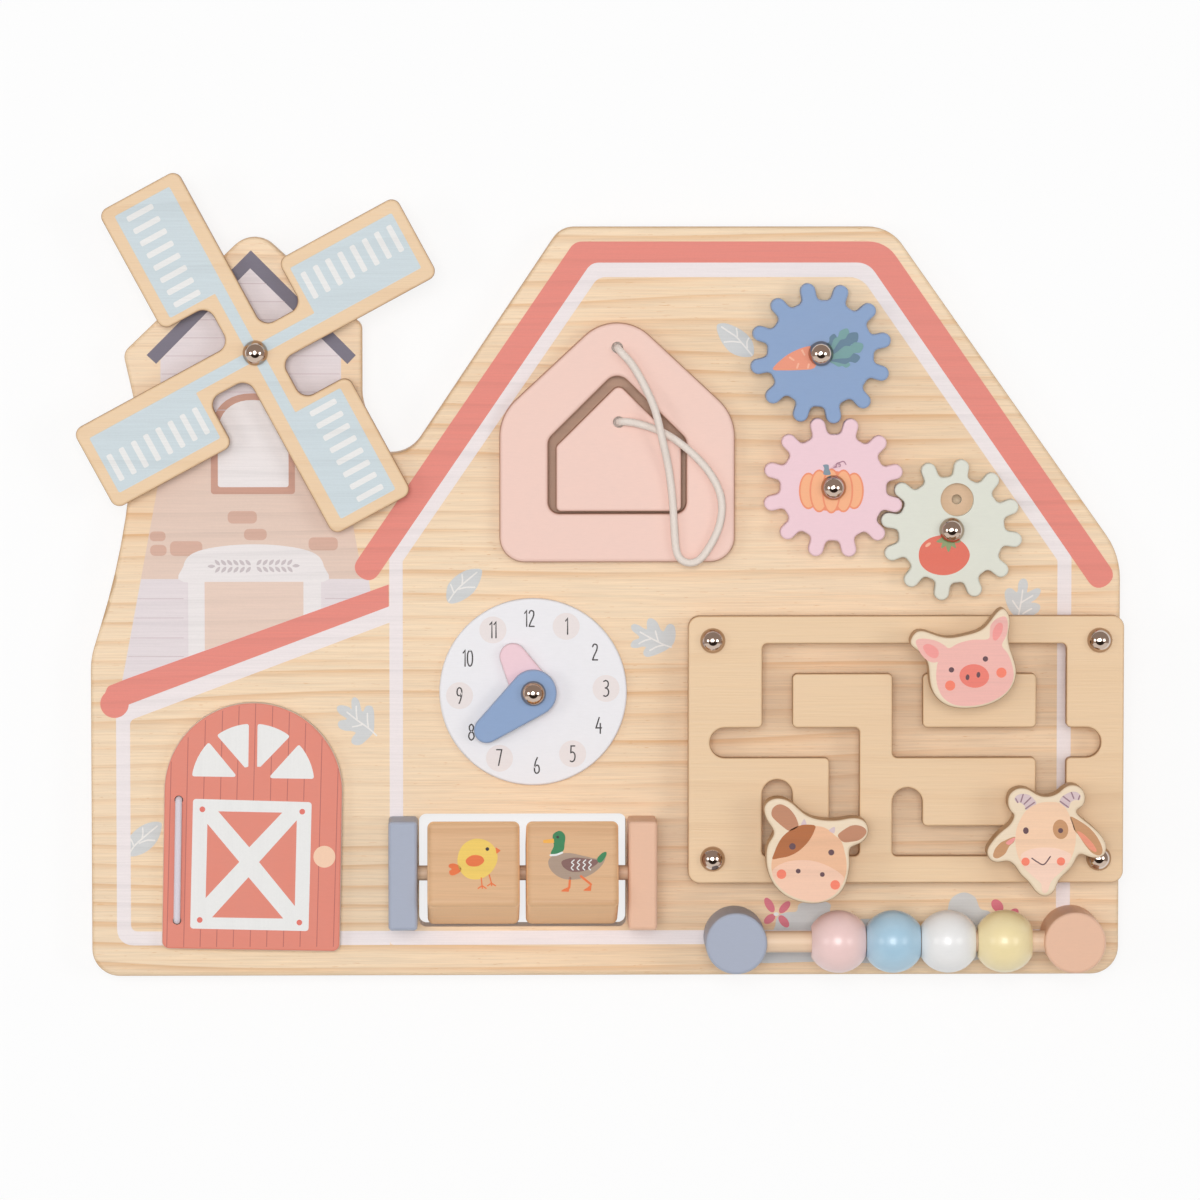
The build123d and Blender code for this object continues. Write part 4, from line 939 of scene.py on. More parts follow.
# Leaves on the board: steps between two points, outline and veins.
LEAVES: tuple[tuple[int, Loop, tuple[Loop, ...]], ...] = (
    (5, [
        (44.18, 110.28), (45.16, 111.48), (48.04, 111.53), (52.04, 110.02), (55.6, 107.71), (58.18, 104.82),
        (59.07, 101.48), (58.71, 98.73), (56.49, 98.15), (53.38, 98.46), (49.82, 99.93), (46.93, 103.04),
        (44.84, 107.04)],
     ([(46.18, 110.15), (49.16, 108.15), (52.04, 106.15), (54.93, 102.91), (58.27, 98.91)],
      [(52, 109.57), (52.36, 107.93), (52.4, 106.02)], [(47.24, 104.15), (50.49, 104.37), (53.82, 103.97)],
      [(57.02, 105.66), (56.27, 104.15), (56.4, 101.71)])),
    (5, [
        (-63.78, 4.37), (-63.07, 7.26), (-60.31, 10.37), (-56.31, 12.82), (-52.31, 13.62), (-49.87, 13.26),
        (-49.64, 11.48), (-50.76, 7.93), (-53.2, 3.93), (-57.2, 1.04), (-60.76, -0.29), (-62.98, 0.02),
        (-63.82, 1.93)],
     ([(-62.89, 0.73), (-60.67, 3.93), (-57.64, 7.13), (-51.64, 12.15)],
      [(-57.56, 11.26), (-57.38, 9.26), (-57.56, 7.26)], [(-62.09, 7.26), (-61.47, 5.71), (-60.98, 4.28)],
      [(-52.53, 6.15), (-55.87, 6.15), (-58.76, 5.48)])),
    (5, [
        (-192.13, -97.63), (-191.33, -94.52), (-188.67, -91.4), (-185.11, -88.96), (-181.11, -87.76),
        (-178.36, -88.07), (-177.91, -89.63), (-178.89, -93.63), (-181.11, -97.18), (-184.22, -99.85),
        (-187.78, -101.4), (-190.67, -101.63), (-191.96, -100.07)],
     ([(-190.98, -100.65), (-189.02, -97.63), (-186, -94.74), (-179.78, -89.54)],
      [(-185.56, -90.29), (-185.51, -92.52), (-185.82, -94.43)],
      [(-190.44, -94.6), (-189.73, -95.94), (-189.2, -97.4)],
      [(-180.76, -95.32), (-183.78, -95.18), (-186.89, -96.38)])),
    (4, [
        (27.82, -11.72), (27.29, -9.49), (25.82, -8.6), (24.27, -9.4), (23.16, -11.49), (22.04, -11.05),
        (21.38, -9.72), (20.27, -7.72), (18.49, -6.47), (16.93, -6.6), (16.31, -8.38), (16.36, -10.74),
        (15.16, -10.38), (12.93, -9.05), (10.93, -8.69), (10.04, -9.72), (10.71, -11.49), (12.93, -13.27),
        (13.16, -14.38), (10.93, -15.27), (9.91, -16.83), (10.27, -18.03), (12.27, -18.29), (14.71, -17.72),
        (15.96, -18.03), (15.16, -19.27), (15.02, -20.83), (16.27, -21.85), (18.93, -21.4), (22.49, -19.94),
        (25.16, -18.38), (26.93, -16.6), (27.73, -14.38)],
     ([(13.73, -11.94), (18.49, -14.6), (23.38, -17.05), (26.18, -17.94)],
      [(19.82, -11.49), (20.31, -13.49), (20.93, -15.63)], [(13.24, -16.47), (15.38, -15.36), (17.82, -14.65)],
      [(17.6, -19.27), (20.49, -17.72), (23.47, -17.09)])),
    (4, [
        (-92.76, -47.94), (-92.84, -43.94), (-93.56, -41.72), (-94.98, -41.18), (-96.31, -41.72), (-96.98, -43.27),
        (-97.73, -43.4), (-98.31, -41.27), (-98.98, -39.05), (-100.53, -37.8), (-101.73, -38.83), (-101.87, -41.27),
        (-101.82, -42.69), (-102.98, -41.72), (-105.64, -41.05), (-107.42, -41.49), (-107.64, -42.83),
        (-106.53, -44.6), (-103.96, -46.25), (-104.22, -46.87), (-106.53, -47.27), (-107.33, -48.6),
        (-106.53, -50.38), (-104.31, -51.27), (-101.64, -51.49), (-100.22, -52.2), (-101.64, -54.16),
        (-101.87, -55.94), (-100.53, -57.05), (-98.09, -56.83), (-95.87, -55.05), (-94.09, -53.27), (-92.98, -51.49)],
     ([(-103.64, -43.85), (-99.64, -47.05), (-94.98, -50.38), (-91.87, -53.27)],
      [(-99.96, -41.49), (-99.91, -44.38), (-99.56, -47.05)],
      [(-95.51, -44.38), (-95.47, -47.27), (-95.11, -50.07)],
      [(-101.42, -49.72), (-99.42, -49.36), (-97.42, -48.74)])),
    (4, [
        (162, -3.72), (160.67, -1.27), (159.78, 1.84), (159.78, 4.06), (160.89, 5.4), (162.67, 5.31), (164.22, 3.97),
        (164.93, 4.6), (165.11, 7.17), (166, 8.95), (167.11, 9.4), (168.44, 8.73), (168.98, 6.73), (168.67, 3.84),
        (170.22, 4.51), (172.44, 5.48), (174, 5.04), (173.78, 3.17), (172, 0.95), (170.31, -0.16), (172, -0.38),
        (173.78, -1.27), (173.78, -3.05), (172.44, -4.6), (169.33, -5.94), (164.89, -6.38)],
     ([(166.89, 4.73), (166.53, 1.84), (166.04, -1.27), (165.33, -5.05)],
      [(170.89, 2.51), (168.89, 1.31), (166.4, -0.2)], [(162.89, 0.51), (164, -1.18), (165.33, -2.96)],
      [(170.44, -2.74), (168.89, -3.58), (167.02, -4.74)])),
)


@dataclass
class Windmill:
    """The printed tower and the turning sail in front of it."""

    blades: int = 4
    blade_turn: float = 28.5
    slats: int = 8
    slat_pitch: float = 5.53
    slat_start: float = 31.9
    slat: Point = (7.5, 19.2)
    slat_half: float = 1.15
    rows: int = 8
    row_pitch: float = 7.2
    row_inset: float = 0.6
    pen: float = 0.3
    brick_corner: float = 2.1
    slat_corner: float = 0.7
    hub: Point = (-139.6, 100.2)

    def build(self) -> None:
        """Dresses the sail and prints tower and blades."""
        dress_nodes({"windmill_sail": PLYWOOD, "sail_stud": DOME, "sail_spacer": DOWEL_WOOD, "sail_back_screw": ZINC})
        tower = PrintSheet("tower_print", "board", PINE_GRAIN)
        self._cap(tower)
        self._tower(tower)
        self._doorway(tower)
        tower.build()
        sail = PrintSheet("sail_print", "sail", SHEET_GRAIN, face_at(WHEEL_Z))
        for k in range(self.blades):
            self._blade(sail, self.blade_turn + 360 / self.blades * k)
        sail.build()

    def _cap(self, sheet: PrintSheet) -> None:
        """Boarded wall under a slate gable."""
        apex, left, right, foot = (-141.73, 134.75), (-177.65, 97.15), (-105.68, 97.99), (-141.45, 68.81)
        wall = [apex, right, (right[0], foot[1]), (left[0], foot[1]), left]
        sheet.put(Tone.LILAC, wall)
        slope_left = (left[0] - apex[0]) / (left[1] - apex[1])
        slope_right = (right[0] - apex[0]) / (right[1] - apex[1])
        for row in range(1, self.rows + 1):
            y = apex[1] - self.row_pitch * row
            a = max(left[0], apex[0] + slope_left * (y - apex[1])) + self.row_inset
            b = min(right[0], apex[0] + slope_right * (y - apex[1])) - self.row_inset
            sheet.lines(Tone.PLANK_LINE, self.pen, [[(a, y), (b, y)]], level=1)
        sheet.put(Tone.SLATE, rounded([
            (-141.45, 140.78), (-99.79, 98.98), (-103.16, 95.47), (-141.73, 133.62), (-179.33, 95.61),
            (-183.12, 99.12)]), level=1)

    def _tower(self, sheet: PrintSheet) -> None:
        """Plastered tower with stray bricks and an arched window."""
        sheet.put(Tone.TOWER, rounded([(-174.84, 68.81), (-108.07, 68.81), (-97.12, 9.62), (-185.78, 9.62)]))
        for x, y, across, up in (
            (-145.24, 34.31, 11.7, 5.0), (-140.05, 27.43, 9.1, 4.5), (-179.05, 26.73, 6.4, 3.9),
            (-178.77, 21.12, 6.6, 4.4), (-167.69, 21.82, 12.9, 5.9), (-112.98, 23.64, 11.7, 5.2),
        ):
            sheet.put(Tone.BRICK, box((x, y), across, up, self.brick_corner), level=1)
        for level, (tone, left, right, foot, top, corner, arch) in enumerate((
            (Tone.WINDOW_BROWN, -157.73, -124.2, 43.56, 83.82, 1.4, 16.56),
            (Tone.WALL_WHITE, -154.92, -126.72, 46.37, 81.16, 1.12, 13.75),
        )):
            arched = [(left, foot, corner), (right, foot, corner), (right, top, arch), (left, top, arch)]
            sheet.put(tone, rounded(arched, 10), level=1 + level)

    def _doorway(self, sheet: PrintSheet) -> None:
        """Boarded base, and a white doorway with a sprig over it."""
        sheet.put(Tone.LILAC, rounded([(-185.78, 9.62), (-94.88, 9.62), (-93.76, 2.18), (-193.64, -32.19)]))
        planks = (
            (-187.05, -168.95, 1.76), (-188.45, -168.95, -5.96), (-189.85, -168.95, -13.95),
            (-191.11, -168.95, -21.39), (-112.27, -96.28, 1.76))
        sheet.lines(Tone.PLANK_LINE, self.pen, [[(a, y), (b, y)] for a, b, y in planks], level=1)
        sheet.blob(Tone.WALL_WHITE, [
            (-168.88, 8.48), (-168.88, 14.64), (-166.56, 18.88), (-160.8, 21.44), (-150.8, 23.04), (-140.64, 23.52),
            (-130.4, 23.04), (-120.8, 21.44), (-115.04, 18.88), (-112.72, 14.64), (-112.72, 8.48), (-140.8, 8.4)],
            level=3, steps=4)
        sheet.put(Tone.WALL_WHITE, [(-166.96, 8.64), (-166.96, -21.36), (-113.88, -2.96), (-113.88, 8.64)], level=2)
        sheet.put(Tone.INNER_DOOR, [(-160.4, 8.48), (-160.4, -18.96), (-120.96, -4.96), (-120.96, 8.48)], level=4)
        middle = (-140.75, 14.81)
        leaf = curve_through([(0.0, 0.0), (1.4, 0.8), (3.0, 0.1), (1.5, -0.6)], steps=4)
        pairs, first, pitch, rise, spread, tip = 6, 1.2, 2.45, 0.3, 48, 15.4
        for side in (-1, 1):
            along = 90 - side * 90
            for k in range(pairs):
                for lift in (-1, 1):
                    base = (middle[0] + side * (first + pitch * k), middle[1] + rise * lift)
                    sheet.put(Tone.LAUREL, moved(leaf, base, along + side * lift * spread), level=4)
            sheet.put(Tone.LAUREL, moved(leaf, (middle[0] + side * tip, middle[1]), along), level=4)

    def _blade(self, sheet: PrintSheet, turn: float) -> None:
        """Blue panel, its bar to the hub and the slats of one blade."""
        edge = [(2.0, -1.8), (74.2, -1.8, 0.8), (74.2, 23.0, 0.8), (28.3, 23.0, 0.8), (28.3, 2.7, 0.4), (2.0, 2.7)]
        sheet.put(Tone.SAIL_BLUE, moved(rounded(edge, 3), self.hub, turn))
        low, high = self.slat
        for k in range(self.slats):
            u = self.slat_start + self.slat_pitch * k
            a, b = u - self.slat_half, u + self.slat_half
            slat = rounded([(*p, self.slat_corner) for p in ((a, low), (b, low), (b, high), (a, high))], 3)
            sheet.put(Tone.PANE, moved(slat, self.hub, turn), level=1)


@dataclass
class BarnDoor:
    """The arched door on its elastic hinge."""

    line: float = 0.36
    line_foot: float = -137.51
    frame_span: Point = (-78.78, -130.69)
    framed: tuple[int, int] = (2, 8)
    fan: Point = (-141.24, -72.52)
    fan_reach: float = 24.6
    fan_steps: int = 6
    elastic: float = 1.25
    holes: tuple[Point, ...] = ((-0.171781, -0.126915), (-0.170850, -0.078424))
    tie_heights: tuple[float, ...] = (12.0, 13.4, 14.4, 15.1, 15.6, 16.4, 17.6, 18.9)

    def build(self) -> None:
        """Dresses the door, prints it and ties it to the board."""
        dress_nodes({"barn_door": RED_PAINT, "door_hinge_cord": ELASTIC})
        sheet = PrintSheet("door_print", "door", DOOR_GRAIN, face_at(DOOR_Z), FAINT)
        self._planks(sheet)
        self._fan(sheet)
        sheet.put(Tone.PANE,
            rounded([
                (-165.14, -78.02, 1.34), (-117.77, -79.49, 1.34), (-119.2, -131.31, 1.34), (-166.52, -130.15, 1.34)]),
            [(-155.15, -83.06), (-129.53, -83.63), (-142.77, -97.54)],
            [(-159.48, -88.05), (-146.78, -103.42), (-160.28, -117.9)],
            [(-123.74, -86.71), (-124.63, -121.24), (-138.89, -103.51)],
            [(-143.12, -109.57), (-129.27, -126.23), (-157.78, -125.7)], level=1)
        corners = ((-161.44, -82.25), (-121.56, -83.28), (-162.68, -126.72), (-122.85, -127.84))
        sheet.dots(Tone.DOOR_DOT, corners, 1.15, steps=16, level=2)
        sheet.put(Tone.KNOB, oval((-112.78, -101.41), 4.4), level=1)
        sheet.build()
        self._ties()

    def _planks(self, sheet: PrintSheet) -> None:
        """Lines between the boards, cut where the white frame lies on them."""
        upper, lower = self.frame_span
        first, last = self.framed
        for k, (x, y, foot_x) in enumerate((
            (-173.8, -63.16, -175.92), (-167, -53.44, -169.15), (-160.06, -46.64, -162.6), (-153.19, -42.89, -156),
            (-146.6, -40.95, -149.36), (-140, -40.12, -142.59), (-133.2, -41.23, -135.99), (-126.54, -43.59, -129.31),
            (-120.08, -47.89, -122.63), (-113.56, -54.14, -115.94), (-107.17, -66.01, -109.26),
        )):
            top, foot = (x, y), (foot_x, self.line_foot)
            slope = (foot[0] - top[0]) / (foot[1] - top[1])
            rail, sill = [(top[0] + slope * (cut - top[1]), cut) for cut in (upper, lower)]
            parts = ([top, rail], [sill, foot]) if first <= k <= last else ([top, foot],)
            sheet.lines(Tone.DOOR_LINE, self.line, parts)

    def _fan(self, sheet: PrintSheet) -> None:
        """Four panes round the top of the frame."""
        ends = (0, self.fan_steps)
        for start, end, inner in (
            (171.8, 135.5, [(-6.1, 3.2, 0.9)]),
            (125.7, 93.5, [(-1.8, 7.3, 0.3), (-3.2, 7.0, 0.3)]),
            (85.4, 52.6, [(3.1, 7.3, 0.3), (1.7, 7.3, 0.3)]),
            (41.5, 5.6, [(6.1, 2.7, 0.9)]),
        ):
            rim = [math.radians(start + (end - start) * k / self.fan_steps) for k in range(self.fan_steps + 1)]
            arc = [(self.fan_reach * math.cos(a), self.fan_reach * math.sin(a), 0.9 if k in ends else 0.0)
                   for k, a in enumerate(rim)]
            pane = [(self.fan[0] + x, self.fan[1] + y, radius) for x, y, radius in arc + inner]
            sheet.put(Tone.PANE, rounded(pane), level=1)

    def _ties(self) -> None:
        """Two short elastic ties between board and door."""
        lay = Lay(self.elastic * MM, strands=6, relief=0.00012, pitch=0.004, sides=12)
        for k, (x, y) in enumerate(self.holes):
            line = [Vector((x, y, z * MM)) for z in self.tie_heights]
            tie = lay.tube(f"door_elastic_{k + 1}", line, ELASTIC)
            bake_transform(tie)


@dataclass
class Clock:
    """The dial, its numerals and the two hands."""

    pen: float = 0.55
    tall: float = 6.3
    blush: float = 5.4
    lead: float = 0.35
    narrow: float = 0.26
    wide: float = 0.42

    def build(self) -> None:
        """Dresses the clock and prints the dial."""
        dress_nodes({
            "clock_dial": WHITE_PAINT, "hour_hand": PINK_PAINT, "minute_hand": BLUE_PAINT, "clock_stud": DOME,
            "clock_washers": WASHER, "clock_back_screw": ZINC})
        sheet = PrintSheet("dial_print", "board", SHEET_GRAIN, face_at(DIAL_Z), FAINT)
        odd = (
            (-15.96, -9.31), (-0.02, -34.24), (-13.39, -60.46), (-42.67, -62.18), (-58.61, -37.03), (-45.24, -10.7))
        sheet.dots(Tone.DIAL_BLUSH, odd, self.blush, steps=40)
        middles = (
            (-30.73, -6.15), (-15.7, -9.31), (-4.57, -19.63), (-0.12, -34.24), (-3.07, -49.07), (-13.5, -60.46),
            (-27.84, -65.12), (-42.83, -61.91), (-54.01, -51.74), (-58.77, -37.03), (-55.35, -22.04), (-45.13, -10.7))
        for hour, middle in enumerate(middles):
            self._number(sheet, str(hour or len(middles)), middle)
        sheet.build()

    def _number(self, sheet: PrintSheet, number: str, middle: Point) -> None:
        """Draws a numeral with its pen lines, centred on a point."""
        widths = [(self.narrow if digit == "1" else self.wide) * self.tall for digit in number]
        x = middle[0] - sum(widths) / 2 + self.lead
        for digit, width in zip(number, widths):
            for line, soft in DIGITS[digit]:
                pen = [(x + px * self.tall, middle[1] + (py - 0.5) * self.tall) for px, py in line]
                sheet.put(Tone.NUMERAL, stroke(pen, self.pen, soft), level=1)
            x += width


# Pen lines of each digit in parts of its height, and whether each bends smoothly.
DIGITS: dict[str, list[tuple[list[Point], bool]]] = {
    "0": [
        ([(0.17, 1.0), (0.05, 0.86), (0.01, 0.5), (0.05, 0.14), (0.17, 0.0), (0.29, 0.14), (0.33, 0.5),
          (0.29, 0.86), (0.17, 1.0)], True)],
    "1": [([(0.0, 0.84), (0.12, 1.0), (0.12, 0.0)], False)],
    "2": [
        ([(0.02, 0.84), (0.08, 0.97), (0.18, 1.0), (0.29, 0.93), (0.31, 0.76), (0.25, 0.55), (0.12, 0.28),
          (0.02, 0.0)], True),
        ([(0.02, 0.0), (0.33, 0.0)], False)],
    "3": [
        ([(0.02, 0.95), (0.16, 1.0), (0.29, 0.9), (0.30, 0.7), (0.22, 0.57), (0.12, 0.53)], True),
        ([(0.12, 0.53), (0.26, 0.47), (0.33, 0.3), (0.29, 0.1), (0.15, 0.0), (0.02, 0.04)], True)],
    "4": [([(0.20, 1.0), (0.0, 0.34), (0.34, 0.34)], False), ([(0.27, 0.62), (0.27, 0.0)], False)],
    "5": [
        ([(0.30, 1.0), (0.07, 1.0), (0.05, 0.57)], False),
        ([(0.05, 0.57), (0.17, 0.61), (0.29, 0.5), (0.32, 0.3), (0.26, 0.08), (0.13, 0.0), (0.02, 0.04)], True)],
    "6": [
        ([(0.20, 1.0), (0.08, 0.7), (0.02, 0.35), (0.05, 0.09), (0.17, 0.0), (0.30, 0.1), (0.32, 0.32), (0.25, 0.5),
          (0.12, 0.5), (0.04, 0.38)], True)],
    "7": [([(0.0, 1.0), (0.32, 1.0), (0.12, 0.0)], False)],
    "8": [
        ([(0.17, 0.55), (0.06, 0.67), (0.05, 0.88), (0.17, 1.0), (0.29, 0.88), (0.28, 0.67), (0.17, 0.55)], True),
        ([(0.17, 0.55), (0.04, 0.42), (0.01, 0.18), (0.17, 0.0), (0.33, 0.18), (0.30, 0.42), (0.17, 0.55)], True)],
    "9": [
        ([(0.30, 0.66), (0.22, 0.5), (0.08, 0.52), (0.02, 0.7), (0.06, 0.92), (0.18, 1.0), (0.29, 0.9),
          (0.32, 0.66), (0.26, 0.3), (0.15, 0.0)], True)],
}


@dataclass
class GearTrain:
    """Three meshing wheels with a picture on each."""

    pen: float = 0.75

    def build(self) -> None:
        """Dresses the wheels and prints them."""
        dress_nodes({
            "gear_blue": BLUE_PAINT, "gear_pink": PINK_PAINT, "gear_green": SAGE_PAINT, "gear_studs": DOME,
            "gear_spacers": DOWEL_WOOD, "gear_back_screws": ZINC})
        self._carrot()
        self._pumpkin()
        self._tomato()

    def _carrot(self) -> None:
        """Carrot and its fronds on the blue wheel."""
        sheet = PrintSheet("carrot_print", "blue_wheel", SHEET_GRAIN, face_at(WHEEL_Z), FAINT)
        sheet.blob(Tone.CARROT, [
            (66.2, 93.76), (70.53, 98.26), (75.71, 101.28), (81.33, 102.84), (83.66, 100.59), (83.66, 96.09),
            (82.19, 93.85), (77.44, 93.33), (70.53, 93.16)])
        sheet.lines(Tone.CARROT_LINE, self.pen, (
            [(72.95, 98.34), (74.5, 97.3)], [(75.88, 94.19), (76.4, 95.75)], [(77.87, 101.11), (78.82, 99.38)],
            [(80.21, 94.19), (80.55, 95.58)]), level=1)
        root = (87.38, 97.39)
        frond = [
            (0.0, 0.0), (3.0, 0.8), (5.2, 1.5), (6.4, 1.1), (7.8, 1.5), (9.4, 0.4), (8.2, -1.1), (6.6, -0.8),
            (5.2, -1.4), (3.0, -0.8)]
        for level, (tone, turn, grow) in enumerate((
            (Tone.FROND_DARK, 70.0, 1.15), (Tone.FROND, -14.0, 1.05), (Tone.FROND, 53.0, 1.6),
            (Tone.FROND_DARK, 2.0, 1.45), (Tone.FROND_DARK, 38.0, 1.75), (Tone.FROND, 20.0, 1.7),
        )):
            sheet.put(tone, moved(curve_through(frond), root, turn, grow), level=1 + level)
        sheet.build()

    def _pumpkin(self) -> None:
        """Ribbed pumpkin on the pink wheel."""
        sheet = PrintSheet("pumpkin_print", "pink_wheel", SHEET_GRAIN, face_at(WHEEL_Z), FAINT)
        centre, height, reach = (89.63, 45.1), 8.8, 15.5
        sheet.put(Tone.PUMPKIN_DARK, oval(centre, 12.7, 8.0, steps=40))
        for level, (offset, across) in enumerate(((-9.1, 3.5), (9.1, 3.5), (-4.8, 3.6), (4.8, 3.6), (0.0, 3.4))):
            tall = height * math.sqrt(1 - (offset / reach) ** 2)
            rib = (centre[0] + offset, centre[1])
            sheet.put(Tone.PUMPKIN_DARK, oval(rib, across + 0.35, tall + 0.2), level=1 + level)
            sheet.put(Tone.PUMPKIN, oval(rib, across - 0.35, tall - 0.5), level=2 + level)
        top = (87.81, 52.88)
        stem = [(-1.3, -1.2), (-1.0, 1.2), (-1.5, 2.5), (0.5, 2.7), (0.9, 1.0), (1.5, -1.2)]
        sheet.blob(Tone.STEM, [(top[0] + x, top[1] + y) for x, y in stem], level=7)
        curl = [(1.4, 0.6), (3.0, 2.2), (4.6, 3.4), (5.4, 2.2), (4.2, 1.8), (4.6, 3.2), (6.6, 4.0), (7.6, 2.8)]
        sheet.lines(Tone.TENDRIL, 0.4, [[(top[0] + x, top[1] + y) for x, y in curl]], level=8)
        sheet.build()

    def _tomato(self) -> None:
        """Tomato on the green wheel, and the bare wood in its finger hollow."""
        sheet = PrintSheet("tomato_print", "green_wheel", SHEET_GRAIN, face_at(WHEEL_Z), FAINT)
        centre = (134.48, 19.35)
        sheet.blob(Tone.TOMATO, [
            (centre[0] + 10.2 * math.cos(a) * (1 + 0.03 * math.cos(3 * a)), centre[1] + 8.0 * math.sin(a))
            for a in (2 * math.pi * k / 12 for k in range(12))])
        sheet.put(Tone.CARROT_LINE, oval((centre[0] - 6.2, centre[1] + 4.2), 1.3, 0.6, 36), level=1)
        leaf = curve_through([(0.0, -0.8), (2.6, -1.2), (5.6, 0.0), (2.6, 1.2), (0.0, 0.8)])
        for turn, grow in ((-14.0, 0.9), (194.0, 0.9), (232.0, 0.85), (270.0, 0.95), (308.0, 0.85)):
            sheet.put(Tone.CALYX, moved(leaf, (centre[0] + 2.0, centre[1] + 6.6), turn, grow), level=2)
        sheet.build()
        hollow = PrintSheet("finger_hollow", "green_wheel", SHEET_GRAIN, face_at(HOLLOW_Z))
        middle = (139.87, 41.51)
        hollow.put(Tone.BARE_WOOD, oval(middle, 6.6, steps=40), oval(middle, 2.0, steps=16))
        hollow.build()


@dataclass
class ShapeSorter:
    """House-shaped frame, its insert and the lacing cord between them."""

    cord_diameter: float = 0.0031
    cord_length: float = 0.19
    opening: tuple[Space, ...] = (
        (-23.4, 35.7, 4.5), (32.1, 35.7, 4.5), (32.1, 65.7, 5.0), (4.35, 93.3, 5.5), (-23.4, 65.7, 5.0))
    route: tuple[Space, ...] = (
        (0.00435, 0.1022, 0.0185), (0.00435, 0.1022, 0.0227), (0.00635, 0.0999, 0.0251), (0.0104, 0.0956, 0.02395),
        (0.0155, 0.0866, 0.02445), (0.0196, 0.0772, 0.02825), (0.0222, 0.0656, 0.02825), (0.0248, 0.0546, 0.02425),
        (0.0264, 0.0422, 0.02325), (0.0271, 0.0286, 0.02345), (0.0279, 0.0193, 0.02325), (0.0318, 0.0161, 0.02345),
        (0.0368, 0.0168, 0.02325), (0.0412, 0.0226, 0.02345), (0.0456, 0.0316, 0.02325), (0.0464, 0.0424, 0.02345),
        (0.0416, 0.0524, 0.02325), (0.0334, 0.0612, 0.02345), (0.0238, 0.0682, 0.02325), (0.0144, 0.0716, 0.02345),
        (0.00795, 0.0730, 0.0251), (0.00495, 0.0725, 0.0227), (0.00495, 0.0725, 0.0185),
    )

    def lay_cord(self) -> None:
        """Makes the braided cord on its route."""
        line = laid_line("lacing_line", self.route)
        lay = Lay(self.cord_diameter / 2, strands=8, relief=0.00026, pitch=0.0105)
        cord = lay.tube("braided_lacing_cord", line, COTTON)
        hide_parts("lacing_cord")
        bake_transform(cord)

    def build(self) -> None:
        """Dresses frame, insert and knots, and prints painted shade on the board in the gap round the insert."""
        dress_nodes({
            "shape_frame": BLUSH_PAINT, "house_insert": BLUSH_PAINT, "lacing_cord": COTTON,
            "frame_cord_knot": COTTON, "insert_cord_knot": COTTON})
        # Painted shade: a darker brown on the board in the frame's opening, where the narrow gap round the insert
        # lies in shadow.
        groove = PrintSheet("groove_stain", "board", PINE_GRAIN)
        groove.put(Tone.GROOVE, rounded(self.opening))
        groove.build()


